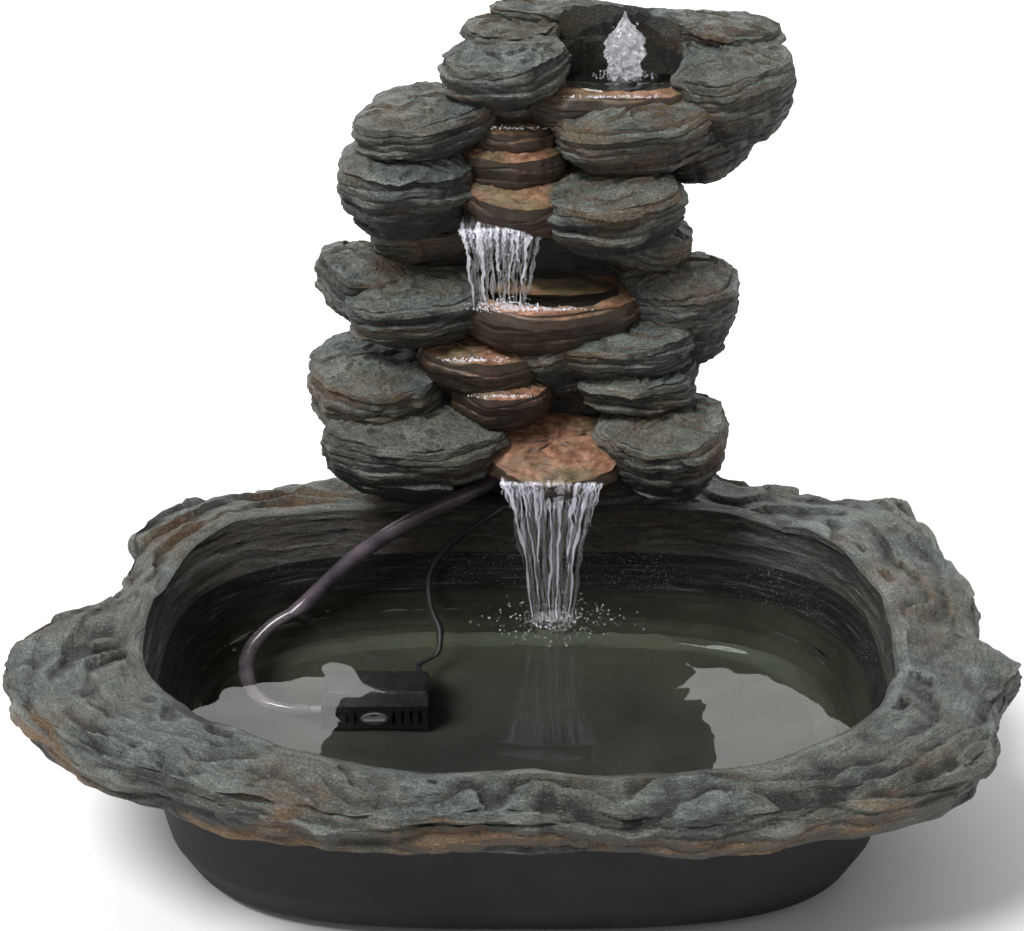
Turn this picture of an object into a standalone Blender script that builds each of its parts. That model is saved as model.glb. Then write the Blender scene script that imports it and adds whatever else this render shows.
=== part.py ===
"""Rock cascade fountain: a hollow tower of cast stones on the back rim of a catch basin, with its pump.

Units are metres, +Z up. The origin is the middle of the bowl's flat underside, +X is to the right
seen from the front and +Y points to the back, where the tower stands.
"""

from math import cos, pi, radians, sin

import bmesh
import bpy
from mathutils import Euler, Matrix, Vector
from mathutils.geometry import interpolate_bezier

# ---- Driving dimensions ----
GAP = 0.0003  # clearance between pieces that touch
BEYOND = 0.050  # how far a cutting tool reaches past what it cuts

OPENING_LENGTH = 0.676  # the dish at the rim, left to right
OPENING_DEPTH = 0.506  # the dish at the rim, front to back
OPENING_POWER = 3.2  # squareness of the dish's outline
OPENING_SHIFT = -0.015  # the opening sits this far forward of the base
BASIN_HEIGHT = 0.200  # floor level to the deck that the tower stands on
BOWL_SEAT = 0.150  # top of the bowl's flange, where the rim casting rests
SEAT_INSET = 0.006  # the bowl's inner edge under the rim casting
FLANGE_WIDTH = 0.013
FLANGE_THICKNESS = 0.010
RIM_SKIN = 0.010
RIM_DROP = 0.053  # how far the rim's outer skirt hangs below its top
DECK_WIDTH = 0.135  # rim width behind the opening, under the tower

TOWER_HEIGHT = 0.485  # deck to the top of the highest stone
TOWER_BACK = 0.350  # flat back face of the tower
TOWER_WALL = 0.010
POOL_FLOOR = 0.018  # thickness under the top pool

HATCH_WIDTH = 0.110
HATCH_HEIGHT = 0.150
HATCH_THICKNESS = 0.006
HATCH_LEDGE = 0.010  # how far the hatch overlaps the opening behind it
HATCH_X = 0.010
HATCH_Z = 0.385  # middle of the hatch
SCREW_RADIUS = 0.0020
SCREW_LENGTH = 0.012
SCREW_HEAD_RADIUS = 0.0040
SCREW_HEAD_HEIGHT = 0.0025

HOSE_DIAMETER = 0.016
CORD_DIAMETER = 0.006
NOZZLE_BORE = 0.0050  # radius
NOZZLE_RADIUS = 0.0080
NOZZLE_FLANGE = 0.0150
NOZZLE_PLACE = (0.097, 0.297)
NOZZLE_RISE = 0.016  # spout above the floor of the top pool
NOZZLE_TAIL = 0.022  # threaded end below the floor
NUT_ACROSS = 0.024
NUT_HEIGHT = 0.006

PUMP_LENGTH = 0.100
PUMP_HEIGHT = 0.050
MOTOR_DEPTH = 0.046
PUMP_PLACE = (-0.138, 0.048)  # where the rotor's axis meets the chamber joint, seen from above
WELL_RADIUS = 0.0125
WELL_DEPTH = 0.036
SHAFT_RADIUS = 0.0015
CHAMBER_RADIUS = 0.0175  # inside of the impeller chamber
CHAMBER_WALL = 0.0022
CHAMBER_DEPTH = 0.0140
OUTLET_RADIUS = 0.0058
OUTLET_BORE = 0.0042
BUSH_RADIUS = 0.0042
BUSH_LENGTH = 0.0024
STRAINER_DEPTH = 0.024
STRAINER_WALL = 0.0020
SLOT_WIDTH = 0.0030
SLOT_HEIGHT = 0.032
SLOT_SPACING = 0.0082
DIAL_RADIUS = 0.0130
DIAL_THICKNESS = 0.0025
DIAL_NECK = 0.0028
PORT_RADIUS = 0.0038
CUP_HEIGHT = 0.008
CUP_RADIUS = 0.0090
GLAND_LENGTH = 0.022

COIL_TURN = 0.066  # across the middle of the wound turns
COIL_BUNDLE = 0.0125  # thickness of the bundle, two turns by two
COIL_PLACE = (0.021, 0.318)
TIE_THICKNESS = 0.0008

# ---- Natural outlines, chosen by eye ----
# The rim casting around the opening: angle in degrees, inset of its inner edge, width, rise of its top.
RIM_LEDGES = [
    (0, 0.000, 0.085, -0.004), (10, 0.004, 0.092, 0.002), (21, 0.008, 0.088, -0.002),
    (30, 0.004, 0.106, 0.004), (36, 0.000, 0.136, 0.002), (42, 0.000, 0.108, -0.004),
    (50, -0.004, 0.092, 0.000), (61, 0.000, 0.112, 0.000), (75, 0.004, None, 0.000),
    (90, 0.006, None, 0.000), (105, 0.004, None, 0.000), (119, 0.000, 0.104, 0.000),
    (132, -0.008, 0.096, 0.000), (142, -0.012, 0.102, 0.004), (150, -0.008, 0.090, 0.000),
    (158, -0.002, 0.060, -0.006), (165, -0.002, 0.044, -0.004), (171, -0.004, 0.056, 0.002),
    (177, -0.004, 0.104, 0.000), (182, -0.004, 0.132, -0.006), (188, -0.002, 0.126, -0.004),
    (196, 0.006, 0.110, 0.002), (207, 0.028, 0.082, 0.002), (218, 0.038, 0.060, 0.000),
    (231, 0.018, 0.068, 0.004), (245, 0.006, 0.066, -0.002), (258, 0.000, 0.060, 0.000),
    (272, 0.000, 0.063, 0.003), (285, -0.002, 0.058, -0.002), (298, 0.000, 0.080, 0.000),
    (310, 0.004, 0.078, -0.004), (321, 0.010, 0.090, 0.002), (331, 0.010, 0.104, 0.004),
    (340, 0.010, 0.088, 0.000), (348, 0.004, 0.096, -0.004), (354, 0.004, 0.114, -0.006),
]

# The dish: height, how far it stands in from the opening, and its share of the opening's shift.
DISH_INSIDE = [(0.108, 0.014, 0.55), (0.050, 0.026, 0.25), (0.028, 0.038, 0.10), (0.018, 0.060, 0.00)]
DISH_OUTSIDE = [(0.000, 0.050, 0.00), (0.012, 0.028, 0.00), (0.045, 0.012, 0.25)]

# The tower's column: share of the tower's height, left side, right side, front.
COLUMN = [
    (0.00, -0.135, 0.150, 0.250), (0.12, -0.120, 0.140, 0.250), (0.30, -0.110, 0.130, 0.262),
    (0.44, -0.105, 0.130, 0.288), (0.62, -0.090, 0.125, 0.274), (0.74, -0.065, 0.140, 0.272),
    (0.83, -0.030, 0.165, 0.265),
]

# The stones: x, y, share of the tower's height at the top, length, depth, thickness, tilt, dip.
# Tilt lowers the right end and dip lowers the front edge, both in degrees.
STONES = [
    (-0.010, 0.305, 0.972, 0.092, 0.070, 0.038, -4, 6),  # top left, small
    (-0.016, 0.262, 0.948, 0.118, 0.090, 0.056, -6, 8),
    (-0.096, 0.262, 0.838, 0.124, 0.106, 0.050, -8, 8),
    (-0.106, 0.248, 0.742, 0.132, 0.106, 0.076, 6, 10),
    (-0.100, 0.298, 0.566, 0.104, 0.074, 0.040, -4, 6),
    (-0.144, 0.278, 0.504, 0.104, 0.090, 0.060, 6, 8),
    (-0.104, 0.245, 0.478, 0.136, 0.094, 0.058, -6, 10),
    (-0.138, 0.252, 0.310, 0.144, 0.126, 0.082, 4, 8),
    (-0.104, 0.212, 0.216, 0.182, 0.106, 0.074, 4, 8),
    (0.196, 0.318, 0.966, 0.094, 0.068, 0.050, 4, 6),
    (0.190, 0.280, 0.922, 0.116, 0.112, 0.082, -8, 8),
    (0.158, 0.292, 0.836, 0.116, 0.100, 0.080, -12, 6),
    (0.104, 0.245, 0.842, 0.138, 0.082, 0.064, -4, 10),
    (0.082, 0.232, 0.696, 0.140, 0.094, 0.064, -6, 10),
    (0.124, 0.285, 0.574, 0.088, 0.074, 0.060, 4, 6),
    (0.150, 0.262, 0.492, 0.110, 0.092, 0.092, -4, 8),
    (0.098, 0.232, 0.396, 0.138, 0.082, 0.052, -4, 10),
    (0.114, 0.232, 0.316, 0.112, 0.078, 0.050, -4, 8),
    (0.138, 0.212, 0.218, 0.130, 0.106, 0.078, -4, 10),
    (0.044, 0.326, 0.996, 0.150, 0.050, 0.030, 2, 2),  # back edge of the top pool
    (0.136, 0.326, 0.976, 0.090, 0.054, 0.040, 2, 2),
    (0.088, 0.336, 0.950, 0.220, 0.040, 0.090, 0, 0),  # wall behind the top pool
    (-0.040, 0.285, 0.085, 0.230, 0.120, 0.060, 0, 0),  # footing stones on the deck
    (0.085, 0.285, 0.085, 0.170, 0.120, 0.060, 0, 0),
    (0.030, 0.236, 0.380, 0.080, 0.064, 0.060, -16, 16),  # rock in the middle of the stream
]

# The watercourse: the same values for the pool floors and spill slabs.
WATERCOURSE = [
    (0.090, 0.290, 0.868, 0.176, 0.124, 0.050, 0, 0),  # floor of the top pool
    (-0.004, 0.280, 0.800, 0.100, 0.080, 0.050, 0, 6),
    (-0.004, 0.264, 0.752, 0.102, 0.076, 0.044, 0, 6),
    (0.002, 0.252, 0.692, 0.132, 0.100, 0.050, 0, 14),  # upper spill slab
    (0.026, 0.256, 0.462, 0.184, 0.118, 0.060, 0, 4),  # middle pool
    (-0.034, 0.242, 0.350, 0.126, 0.080, 0.050, 0, 4),
    (-0.016, 0.228, 0.282, 0.102, 0.066, 0.044, 0, 6),
    (0.032, 0.218, 0.160, 0.152, 0.118, 0.044, 0, 20),  # lower spill slab
]

# The pools: x, y, half length, half depth, share of the tower's height at the floor, depth of the cut.
TOP_POOL = (0.092, 0.288, 0.060, 0.040, 0.840, 0.090)
MIDDLE_POOL = (0.026, 0.248, 0.066, 0.038, 0.440, 0.034)

MOUTH = (-0.066, 0.024, 0.050)  # the gap for hose and lead: left, right, height above the deck

HOSE_ROUTE = [
    (-0.242, 0.052, 0.053), (-0.262, 0.090, 0.058), (-0.264, 0.138, 0.070), (-0.245, 0.172, 0.090),
    (-0.216, 0.192, 0.110), (-0.158, 0.206, 0.162), (-0.092, 0.212, 0.204), (-0.036, 0.228, 0.226),
    (0.008, 0.272, 0.243), (0.036, 0.302, 0.310), (0.058, 0.314, 0.400), (0.080, 0.306, 0.480),
]
CORD_ROUTE = [
    (-0.082, 0.146, 0.056), (-0.080, 0.174, 0.076), (-0.090, 0.206, 0.104), (-0.090, 0.221, 0.132),
    (-0.068, 0.220, 0.166), (-0.036, 0.210, 0.196), (-0.014, 0.214, 0.210), (0.008, 0.246, 0.213),
    (0.038, 0.290, 0.224),
]
CORD_DROP = [
    (0.060, 0.384, 0.226), (0.060, 0.396, 0.196), (0.060, 0.399, 0.130), (0.061, 0.398, 0.060),
    (0.062, 0.384, 0.016), (0.063, 0.356, 0.0034),
]


# ---- Materials ----
def finish(name, colour, roughness, metallic=0.0):
    material = bpy.data.materials.new(name)
    material.use_nodes = True
    shader = material.node_tree.nodes["Principled BSDF"]
    shader.inputs["Base Color"].default_value = (*colour, 1.0)
    shader.inputs["Roughness"].default_value = roughness
    shader.inputs["Metallic"].default_value = metallic
    material.diffuse_color = (*colour, 1.0)
    return material


def make_finishes():
    return {
        "slate": finish("slate_casting", (0.16, 0.18, 0.17), 0.75),
        "bowl": finish("dark_bowl_casting", (0.035, 0.035, 0.036), 0.8),
        "black": finish("black_moulding", (0.02, 0.02, 0.022), 0.45),
        "grey": finish("grey_moulding", (0.12, 0.12, 0.13), 0.5),
        "rubber": finish("rubber", (0.025, 0.025, 0.025), 0.85),
        "hose": finish("clear_hose", (0.45, 0.40, 0.42), 0.2),
        "lead": finish("lead_jacket", (0.015, 0.015, 0.016), 0.55),
        "steel": finish("stainless_steel", (0.62, 0.62, 0.60), 0.3, 1.0),
        "ceramic": finish("ceramic", (0.85, 0.83, 0.78), 0.25),
        "magnet": finish("magnet_shell", (0.08, 0.08, 0.09), 0.4),
        "brass": finish("brass", (0.72, 0.55, 0.28), 0.3, 1.0),
    }


# ---- Mesh helpers ----
def clear_scene():
    for item in list(bpy.data.objects):
        bpy.data.objects.remove(item, do_unlink=True)


def add_object(name, mesh, material, place=(0, 0, 0), parent=None, smooth=False):
    """Turns a bmesh into a named object that stands at place, in its parent's frame."""
    bmesh.ops.recalc_face_normals(mesh, faces=mesh.faces)
    data = bpy.data.meshes.new(name)
    mesh.to_mesh(data)
    mesh.free()
    if smooth:
        data.shade_smooth()
        data.set_sharp_from_angle(angle=radians(35))
    item = bpy.data.objects.new(name, data)
    bpy.context.scene.collection.objects.link(item)
    item.location = place
    item.parent = parent
    if material:
        data.materials.append(material)
    else:
        item.hide_render = True
        item.display_type = "WIRE"
    return item


def skin(mesh, loops, ring=False):
    """Faces between loops of equal length. A ring joins the last loop to the first, else both ends close."""
    rows = [[mesh.verts.new(point) for point in loop] for loop in loops]
    pairs = list(zip(rows, rows[1:]))
    if ring:
        pairs.append((rows[-1], rows[0]))
    else:
        mesh.faces.new(rows[0])
        mesh.faces.new(rows[-1])
    for lower, upper in pairs:
        for i in range(len(lower)):
            j = (i + 1) % len(lower)
            mesh.faces.new((lower[i], lower[j], upper[j], upper[i]))
    return mesh


def circle(radius, height, sides):
    return [
        (radius * cos(2 * pi * i / sides), radius * sin(2 * pi * i / sides), height)
        for i in range(sides)
    ]


def turned(profile, sides, axis=(0, 0, 1), place=(0, 0, 0), ring=False):
    """Turns (radius, height) points round an axis. A ring profile is closed and leaves a bore."""
    mesh = skin(bmesh.new(), [circle(radius, height, sides) for radius, height in profile], ring)
    turn = Vector(axis).to_track_quat("Z", "Y").to_matrix().to_4x4()
    bmesh.ops.transform(mesh, matrix=Matrix.Translation(place) @ turn, verts=mesh.verts)
    return mesh


def rod(radius, start, end, sides=16):
    start = Vector(start)
    along = Vector(end) - start
    return turned([(radius, 0.0), (radius, along.length)], sides, along, start)


def block(low, high, bevel=0.0):
    mesh = bmesh.new()
    size = Vector(high) - Vector(low)
    middle = (Vector(high) + Vector(low)) / 2
    place = Matrix.Translation(middle) @ Matrix.Diagonal((*size, 1.0))
    bmesh.ops.create_cube(mesh, size=1.0, matrix=place)
    if bevel:
        bmesh.ops.bevel(mesh, geom=mesh.edges[:], offset=bevel, segments=2, affect="EDGES", profile=0.5)
    return mesh


def boolean(item, other, operation):
    """Adds an exact Boolean of another object, or of every object in a collection."""
    modifier = item.modifiers.new(operation.lower(), "BOOLEAN")
    modifier.operation = operation
    modifier.solver = "EXACT"
    if isinstance(other, bpy.types.Collection):
        modifier.operand_type = "COLLECTION"
        modifier.collection = other
    else:
        modifier.object = other
    return modifier


def cut(item, name, mesh):
    """Cuts a shape, given in the item's own frame, out of the item."""
    tool = add_object(f"{item.name}_{name}", mesh, None, item.location, item.parent)
    boolean(item, tool, "DIFFERENCE")


def fuse(item, name, mesh):
    tool = add_object(f"{item.name}_{name}", mesh, None, item.location, item.parent)
    boolean(item, tool, "UNION")


def smooth_route(points, spacing):
    """Points on one smooth curve through the given points, evenly spaced between its straight ends."""
    points = [Vector(point) for point in points]
    samples = 24
    dense = []
    for i in range(len(points) - 1):
        before = points[max(i - 1, 0)]
        after = points[min(i + 2, len(points) - 1)]
        start, end = points[i], points[i + 1]
        reach = (end - start).length / 3
        leave = (end - before).normalized() * reach
        arrive = (after - start).normalized() * reach
        dense += interpolate_bezier(start, start + leave, end - arrive, end, samples + 1)[:-1]
    dense = dense[samples:1 - samples]
    total = sum((b - a).length for a, b in zip(dense, dense[1:]))
    count = max(2, round(total / spacing))
    step = total / count
    route, walked = [dense[0]], 0.0
    for a, b in zip(dense, dense[1:]):
        length = (b - a).length
        while len(route) < count and walked + length >= step * len(route):
            route.append(a.lerp(b, (step * len(route) - walked) / length))
        walked += length
    return [points[0], *route, dense[-1], points[-1]]


def tube(name, points, diameter, material, spacing_diameters=2.8):
    """A free hose or lead: a round tube along a smooth curve through the points."""
    route = smooth_route(points, diameter * spacing_diameters)
    curve = bpy.data.curves.new(name, "CURVE")
    curve.dimensions = "3D"
    curve.bevel_depth = diameter / 2
    curve.bevel_resolution = 2
    curve.use_fill_caps = True
    spline = curve.splines.new("POLY")
    spline.points.add(len(route) - 1)
    for knot, point in zip(spline.points, route):
        knot.co = (*point, 1.0)
    curve.materials.append(material)
    item = bpy.data.objects.new(name, curve)
    bpy.context.scene.collection.objects.link(item)
    return item


# ---- Basin ----
def opening_radius(angle, inset=0.0):
    """Radius of the dish's rounded outline at an angle, for an outline that stands in by inset."""
    along = abs(cos(angle) / (OPENING_LENGTH / 2 - inset)) ** OPENING_POWER
    across = abs(sin(angle) / (OPENING_DEPTH / 2 - inset)) ** OPENING_POWER
    return (along + across) ** (-1 / OPENING_POWER)


def dish_loop(inset, height, shift, sides=40):
    loop = []
    for i in range(sides):
        angle = 2 * pi * i / sides
        radius = opening_radius(angle, inset)
        loop.append((radius * cos(angle), radius * sin(angle) + shift * OPENING_SHIFT, height))
    return loop


def make_basin_bowl(finishes):
    under = BOWL_SEAT - FLANGE_THICKNESS
    flange = [
        (under, SEAT_INSET - FLANGE_THICKNESS, 1.0), (under, -FLANGE_WIDTH, 1.0),
        (BOWL_SEAT, -FLANGE_WIDTH, 1.0), (BOWL_SEAT, SEAT_INSET, 1.0),
    ]
    levels = DISH_OUTSIDE + flange + DISH_INSIDE
    loops = [dish_loop(inset, height, shift) for height, inset, shift in levels]
    add_object("basin_bowl", skin(bmesh.new(), loops), finishes["bowl"], smooth=True)


def rim_section(angle_degrees, inset, width, rise):
    """One slice through the rim casting: a channel that is open underneath."""
    angle = radians(angle_degrees)
    edge = opening_radius(angle, 0.0)
    width = DECK_WIDTH if width is None else width
    top = BASIN_HEIGHT + rise
    foot = BASIN_HEIGHT - RIM_DROP
    under_top = BASIN_HEIGHT - 0.012 - RIM_SKIN
    section = [
        (-SEAT_INSET, BOWL_SEAT + GAP),
        (-inset * 0.5, BASIN_HEIGHT - 0.022),
        (-inset, top - 0.004),
        (0.016 - inset, top),
        (width - 0.026, top - 0.002),
        (width - 0.006, top - 0.010),
        (width, top - 0.024),
        (width - 0.014, foot),
        (width - 0.014 - RIM_SKIN, foot),
        (max(width - 0.030, FLANGE_WIDTH + 0.002), under_top),
        (RIM_SKIN + 0.004, under_top),
        (RIM_SKIN - 0.004, BOWL_SEAT + GAP),
    ]
    return [
        ((edge + out) * cos(angle), (edge + out) * sin(angle) + OPENING_SHIFT, height)
        for out, height in section
    ]


def make_basin_rim(finishes):
    mesh = skin(bmesh.new(), [rim_section(*ledge) for ledge in RIM_LEDGES], ring=True)
    add_object("basin_rim", mesh, finishes["slate"])


# ---- Tower ----
def up_tower(share):
    """Height of a share of the tower above the deck."""
    return BASIN_HEIGHT + share * TOWER_HEIGHT


def stone_mesh(place, length, depth, thickness, tilt, dip, sides=9):
    """A flat stone with a broad top, full sides and a narrower underside. place is the middle of its top."""
    levels = [(0.60, -1.0), (0.92, -0.66), (1.0, -0.26), (0.92, -0.05), (0.62, 0.0)]
    loops = []
    for share, drop in levels:
        loop = []
        for i in range(sides):
            angle = 2 * pi * (i + 0.5) / sides
            wobble = 1 + 0.05 * sin(3 * angle + 40 * place[0]) + 0.04 * cos(2 * angle + 30 * place[2])
            reach = share * wobble / 2
            loop.append((length * reach * cos(angle), depth * reach * sin(angle), thickness * drop))
        loops.append(loop)
    mesh = skin(bmesh.new(), loops)
    turn = Euler((radians(dip), radians(tilt), 0.0)).to_matrix().to_4x4()
    bmesh.ops.transform(mesh, matrix=Matrix.Translation(place) @ turn, verts=mesh.verts)
    return mesh


def column_loops(inset, low, high):
    """Rounded rectangles up the tower's column, standing in from its faces by inset."""
    loops = []
    for share, left, right, front in COLUMN:
        corners = []
        x0, x1 = left + inset, right - inset
        y0, y1 = front + inset, TOWER_BACK - inset
        chamfer = 0.018
        for x, y, turn_x, turn_y in ((x0, y0, 1, 1), (x1, y0, -1, 1), (x1, y1, -1, -1), (x0, y1, 1, -1)):
            pair = [(x, y + turn_y * chamfer), (x + turn_x * chamfer, y)]
            if turn_x * turn_y < 0:
                pair.reverse()
            corners += pair
        height = min(max(up_tower(share), low), high)
        loops.append([(x, y, height) for x, y in corners])
    return loops


def add_stones(name, stones):
    group = bpy.data.collections.new(name)
    group.hide_render = True
    bpy.context.scene.collection.children.link(group)
    for number, (x, y, share, length, depth, thickness, tilt, dip) in enumerate(stones, 1):
        mesh = stone_mesh((x, y, up_tower(share)), length, depth, thickness, tilt, dip)
        stone = add_object(f"{name}_{number}", mesh, None)
        bpy.context.scene.collection.objects.unlink(stone)
        group.objects.link(stone)
    return group


def pool_cutter(x, y, half_length, half_depth, share, depth):
    floor = up_tower(share)
    loops = []
    for height in (floor, floor + depth):
        loops.append([
            (x + half_length * cos(2 * pi * i / 14), y + half_depth * sin(2 * pi * i / 14), height)
            for i in range(14)
        ])
    return skin(bmesh.new(), loops)


def make_tower_shell(finishes):
    deck = BASIN_HEIGHT + GAP
    top = up_tower(COLUMN[-1][0])
    mesh = skin(bmesh.new(), column_loops(0.0, deck, top))
    tower = add_object("tower_shell", mesh, finishes["slate"])
    boolean(tower, add_stones("stone", STONES), "UNION")
    boolean(tower, add_stones("slab", WATERCOURSE), "UNION")
    cut(tower, "below_deck", block((-0.5, 0.0, deck - 2 * BEYOND), (0.5, 0.5, deck)))
    cut(tower, "behind", block((-0.5, TOWER_BACK, 0.0), (0.5, TOWER_BACK + 2 * BEYOND, 1.0)))
    ceiling = pool_floor() - POOL_FLOOR
    cut(tower, "hollow", skin(bmesh.new(), column_loops(TOWER_WALL, deck - BEYOND, ceiling)))
    left, right, height = MOUTH
    front = COLUMN[0][3]
    mouth = block((left, front - 3 * BEYOND, deck - BEYOND), (right, front + 3 * TOWER_WALL, deck + height))
    cut(tower, "mouth", mouth)
    cut(tower, "top_pool", pool_cutter(*TOP_POOL))
    cut(tower, "middle_pool", pool_cutter(*MIDDLE_POOL))
    hole = rod(NOZZLE_RADIUS + GAP, (*NOZZLE_PLACE, ceiling - BEYOND), (*NOZZLE_PLACE, ceiling + 2 * BEYOND))
    cut(tower, "nozzle_hole", hole)
    cut_hatch_opening(tower)
    x, z = grommet_place()
    hole = rod(grommet_neck() + GAP, (x, TOWER_BACK - 2 * TOWER_WALL, z), (x, TOWER_BACK + BEYOND, z))
    cut(tower, "grommet_hole", hole)
    drop_sealed_voids(tower)


def cut_hatch_opening(tower):
    half_width, half_height = HATCH_WIDTH / 2 + GAP, HATCH_HEIGHT / 2 + GAP
    recess = block(
        (HATCH_X - half_width, TOWER_BACK - HATCH_THICKNESS - GAP, HATCH_Z - half_height),
        (HATCH_X + half_width, TOWER_BACK + BEYOND, HATCH_Z + half_height),
    )
    cut(tower, "hatch_recess", recess)
    half_width, half_height = HATCH_WIDTH / 2 - HATCH_LEDGE, HATCH_HEIGHT / 2 - HATCH_LEDGE
    access = block(
        (HATCH_X - half_width, TOWER_BACK - 2 * TOWER_WALL, HATCH_Z - half_height),
        (HATCH_X + half_width, TOWER_BACK + BEYOND, HATCH_Z + half_height),
    )
    cut(tower, "hatch_opening", access)
    for number, (x, z) in enumerate(screw_places(), 1):
        hole = rod(SCREW_RADIUS + GAP, (x, TOWER_BACK - BEYOND, z), (x, TOWER_BACK, z), 12)
        cut(tower, f"screw_hole_{number}", hole)


def drop_sealed_voids(item):
    """Applies the Booleans and keeps the outer shell, without the pinholes that stones close between them."""
    mesh = bmesh.new()
    mesh.from_object(item, bpy.context.evaluated_depsgraph_get())
    unseen = set(mesh.faces)
    shells = []
    while unseen:
        shell = [unseen.pop()]
        for face in shell:
            beside = {other for edge in face.edges for other in edge.link_faces} & unseen
            unseen -= beside
            shell += beside
        shells.append(shell)
    largest = max(shells, key=len)
    closed = [face for shell in shells if shell is not largest for face in shell]
    bmesh.ops.delete(mesh, geom=closed, context="FACES")
    item.modifiers.clear()
    mesh.to_mesh(item.data)
    mesh.free()


def pool_floor():
    return up_tower(TOP_POOL[4])


def screw_places():
    reach_x, reach_z = HATCH_WIDTH / 2 - HATCH_LEDGE / 2, HATCH_HEIGHT / 2 - HATCH_LEDGE / 2
    return [(HATCH_X + x * reach_x, HATCH_Z + z * reach_z) for z in (-1, 1) for x in (-1, 1)]


def make_hatch(finishes):
    half_width, half_height = HATCH_WIDTH / 2, HATCH_HEIGHT / 2
    mesh = block(
        (HATCH_X - half_width, TOWER_BACK - HATCH_THICKNESS, HATCH_Z - half_height),
        (HATCH_X + half_width, TOWER_BACK, HATCH_Z + half_height),
    )
    hatch = add_object("tower_back_cover", mesh, finishes["bowl"])
    for number, (x, z) in enumerate(screw_places(), 1):
        hole = rod(SCREW_RADIUS + GAP, (x, TOWER_BACK - BEYOND, z), (x, TOWER_BACK + BEYOND, z), 12)
        cut(hatch, f"screw_hole_{number}", hole)
        profile = [
            (SCREW_RADIUS, -SCREW_LENGTH), (SCREW_RADIUS, GAP), (SCREW_HEAD_RADIUS, GAP),
            (SCREW_HEAD_RADIUS, SCREW_HEAD_HEIGHT * 0.5), (SCREW_HEAD_RADIUS * 0.6, SCREW_HEAD_HEIGHT),
        ]
        screw = turned(profile, 12, (0, 1, 0))
        add_object(f"cover_screw_{number}", screw, finishes["steel"], (x, TOWER_BACK, z), smooth=True)


def grommet_place():
    return 0.060, BASIN_HEIGHT + 0.038


def grommet_bore():
    return CORD_DIAMETER / 2 + 0.0008


def grommet_neck():
    return grommet_bore() + 0.0020


def make_grommet(finishes):
    bore, neck = grommet_bore(), grommet_neck()
    lip = neck + 0.0025
    wall = TOWER_WALL
    profile = [
        (bore, -wall - 0.003), (lip, -wall - 0.003), (lip, -wall - GAP), (neck, -wall - GAP),
        (neck, GAP), (lip, GAP), (lip, 0.002), (neck, 0.0035), (bore, 0.0035),
    ]
    x, z = grommet_place()
    mesh = turned(profile, 14, (0, 1, 0), ring=True)
    add_object("cord_grommet", mesh, finishes["rubber"], (x, TOWER_BACK, z), smooth=True)


def nozzle_foot():
    return Vector((*NOZZLE_PLACE, pool_floor() - POOL_FLOOR - NOZZLE_TAIL))


def make_nozzle(finishes):
    floor = pool_floor() - nozzle_foot().z
    profile = [
        (NOZZLE_BORE, 0.0), (NOZZLE_RADIUS, 0.0), (NOZZLE_RADIUS, floor + GAP),
        (NOZZLE_FLANGE, floor + GAP), (NOZZLE_FLANGE, floor + 0.003), (NOZZLE_RADIUS, floor + 0.004),
        (NOZZLE_RADIUS - 0.001, floor + NOZZLE_RISE), (NOZZLE_BORE, floor + NOZZLE_RISE),
    ]
    nozzle = turned(profile, 20, ring=True)
    add_object("bubbler_nozzle", nozzle, finishes["black"], nozzle_foot(), smooth=True)
    top = NOZZLE_TAIL - GAP
    corner = NUT_ACROSS / 2 / cos(pi / 6)
    mesh = turned([(corner, top - NUT_HEIGHT), (corner, top)], 6)
    nut = add_object("nozzle_nut", mesh, finishes["black"], nozzle_foot())
    cut(nut, "bore", rod(NOZZLE_RADIUS + GAP, (0, 0, -BEYOND), (0, 0, BEYOND), 20))


# ---- Pump, in its own frame: y runs along the rotor's axis, with the chamber joint at y = 0 ----
def make_pump_frame():
    frame = bpy.data.objects.new("pump_frame", None)
    bpy.context.scene.collection.objects.link(frame)
    frame.location = pump_origin()
    return frame


def pump_origin():
    height = DISH_INSIDE[-1][0] + GAP + CUP_HEIGHT + GAP + PUMP_HEIGHT / 2
    return Vector((*PUMP_PLACE, height))


def make_pump_housing(frame, finishes):
    half_length, half_height = PUMP_LENGTH / 2, PUMP_HEIGHT / 2
    mesh = block((-half_length, 0, -half_height), (half_length, MOTOR_DEPTH, half_height), 0.004)
    housing = add_object("pump_housing", mesh, finishes["black"], parent=frame, smooth=True)
    cut(housing, "rotor_well", rod(WELL_RADIUS, (0, -0.01, 0), (0, WELL_DEPTH, 0), 20))
    cut(housing, "ring_seat", rod(ring_radius() + 0.0016, (0, -0.01, 0), (0, 0.0024, 0), 24))
    section = [
        (ring_radius() + 0.0010 * cos(pi * i / 3), 0.0012 + 0.0010 * sin(pi * i / 3)) for i in range(6)
    ]
    ring = turned(section, 24, (0, 1, 0), ring=True)
    add_object("housing_o_ring", ring, finishes["rubber"], parent=frame, smooth=True)


def ring_radius():
    return WELL_RADIUS + 0.0026


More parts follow.
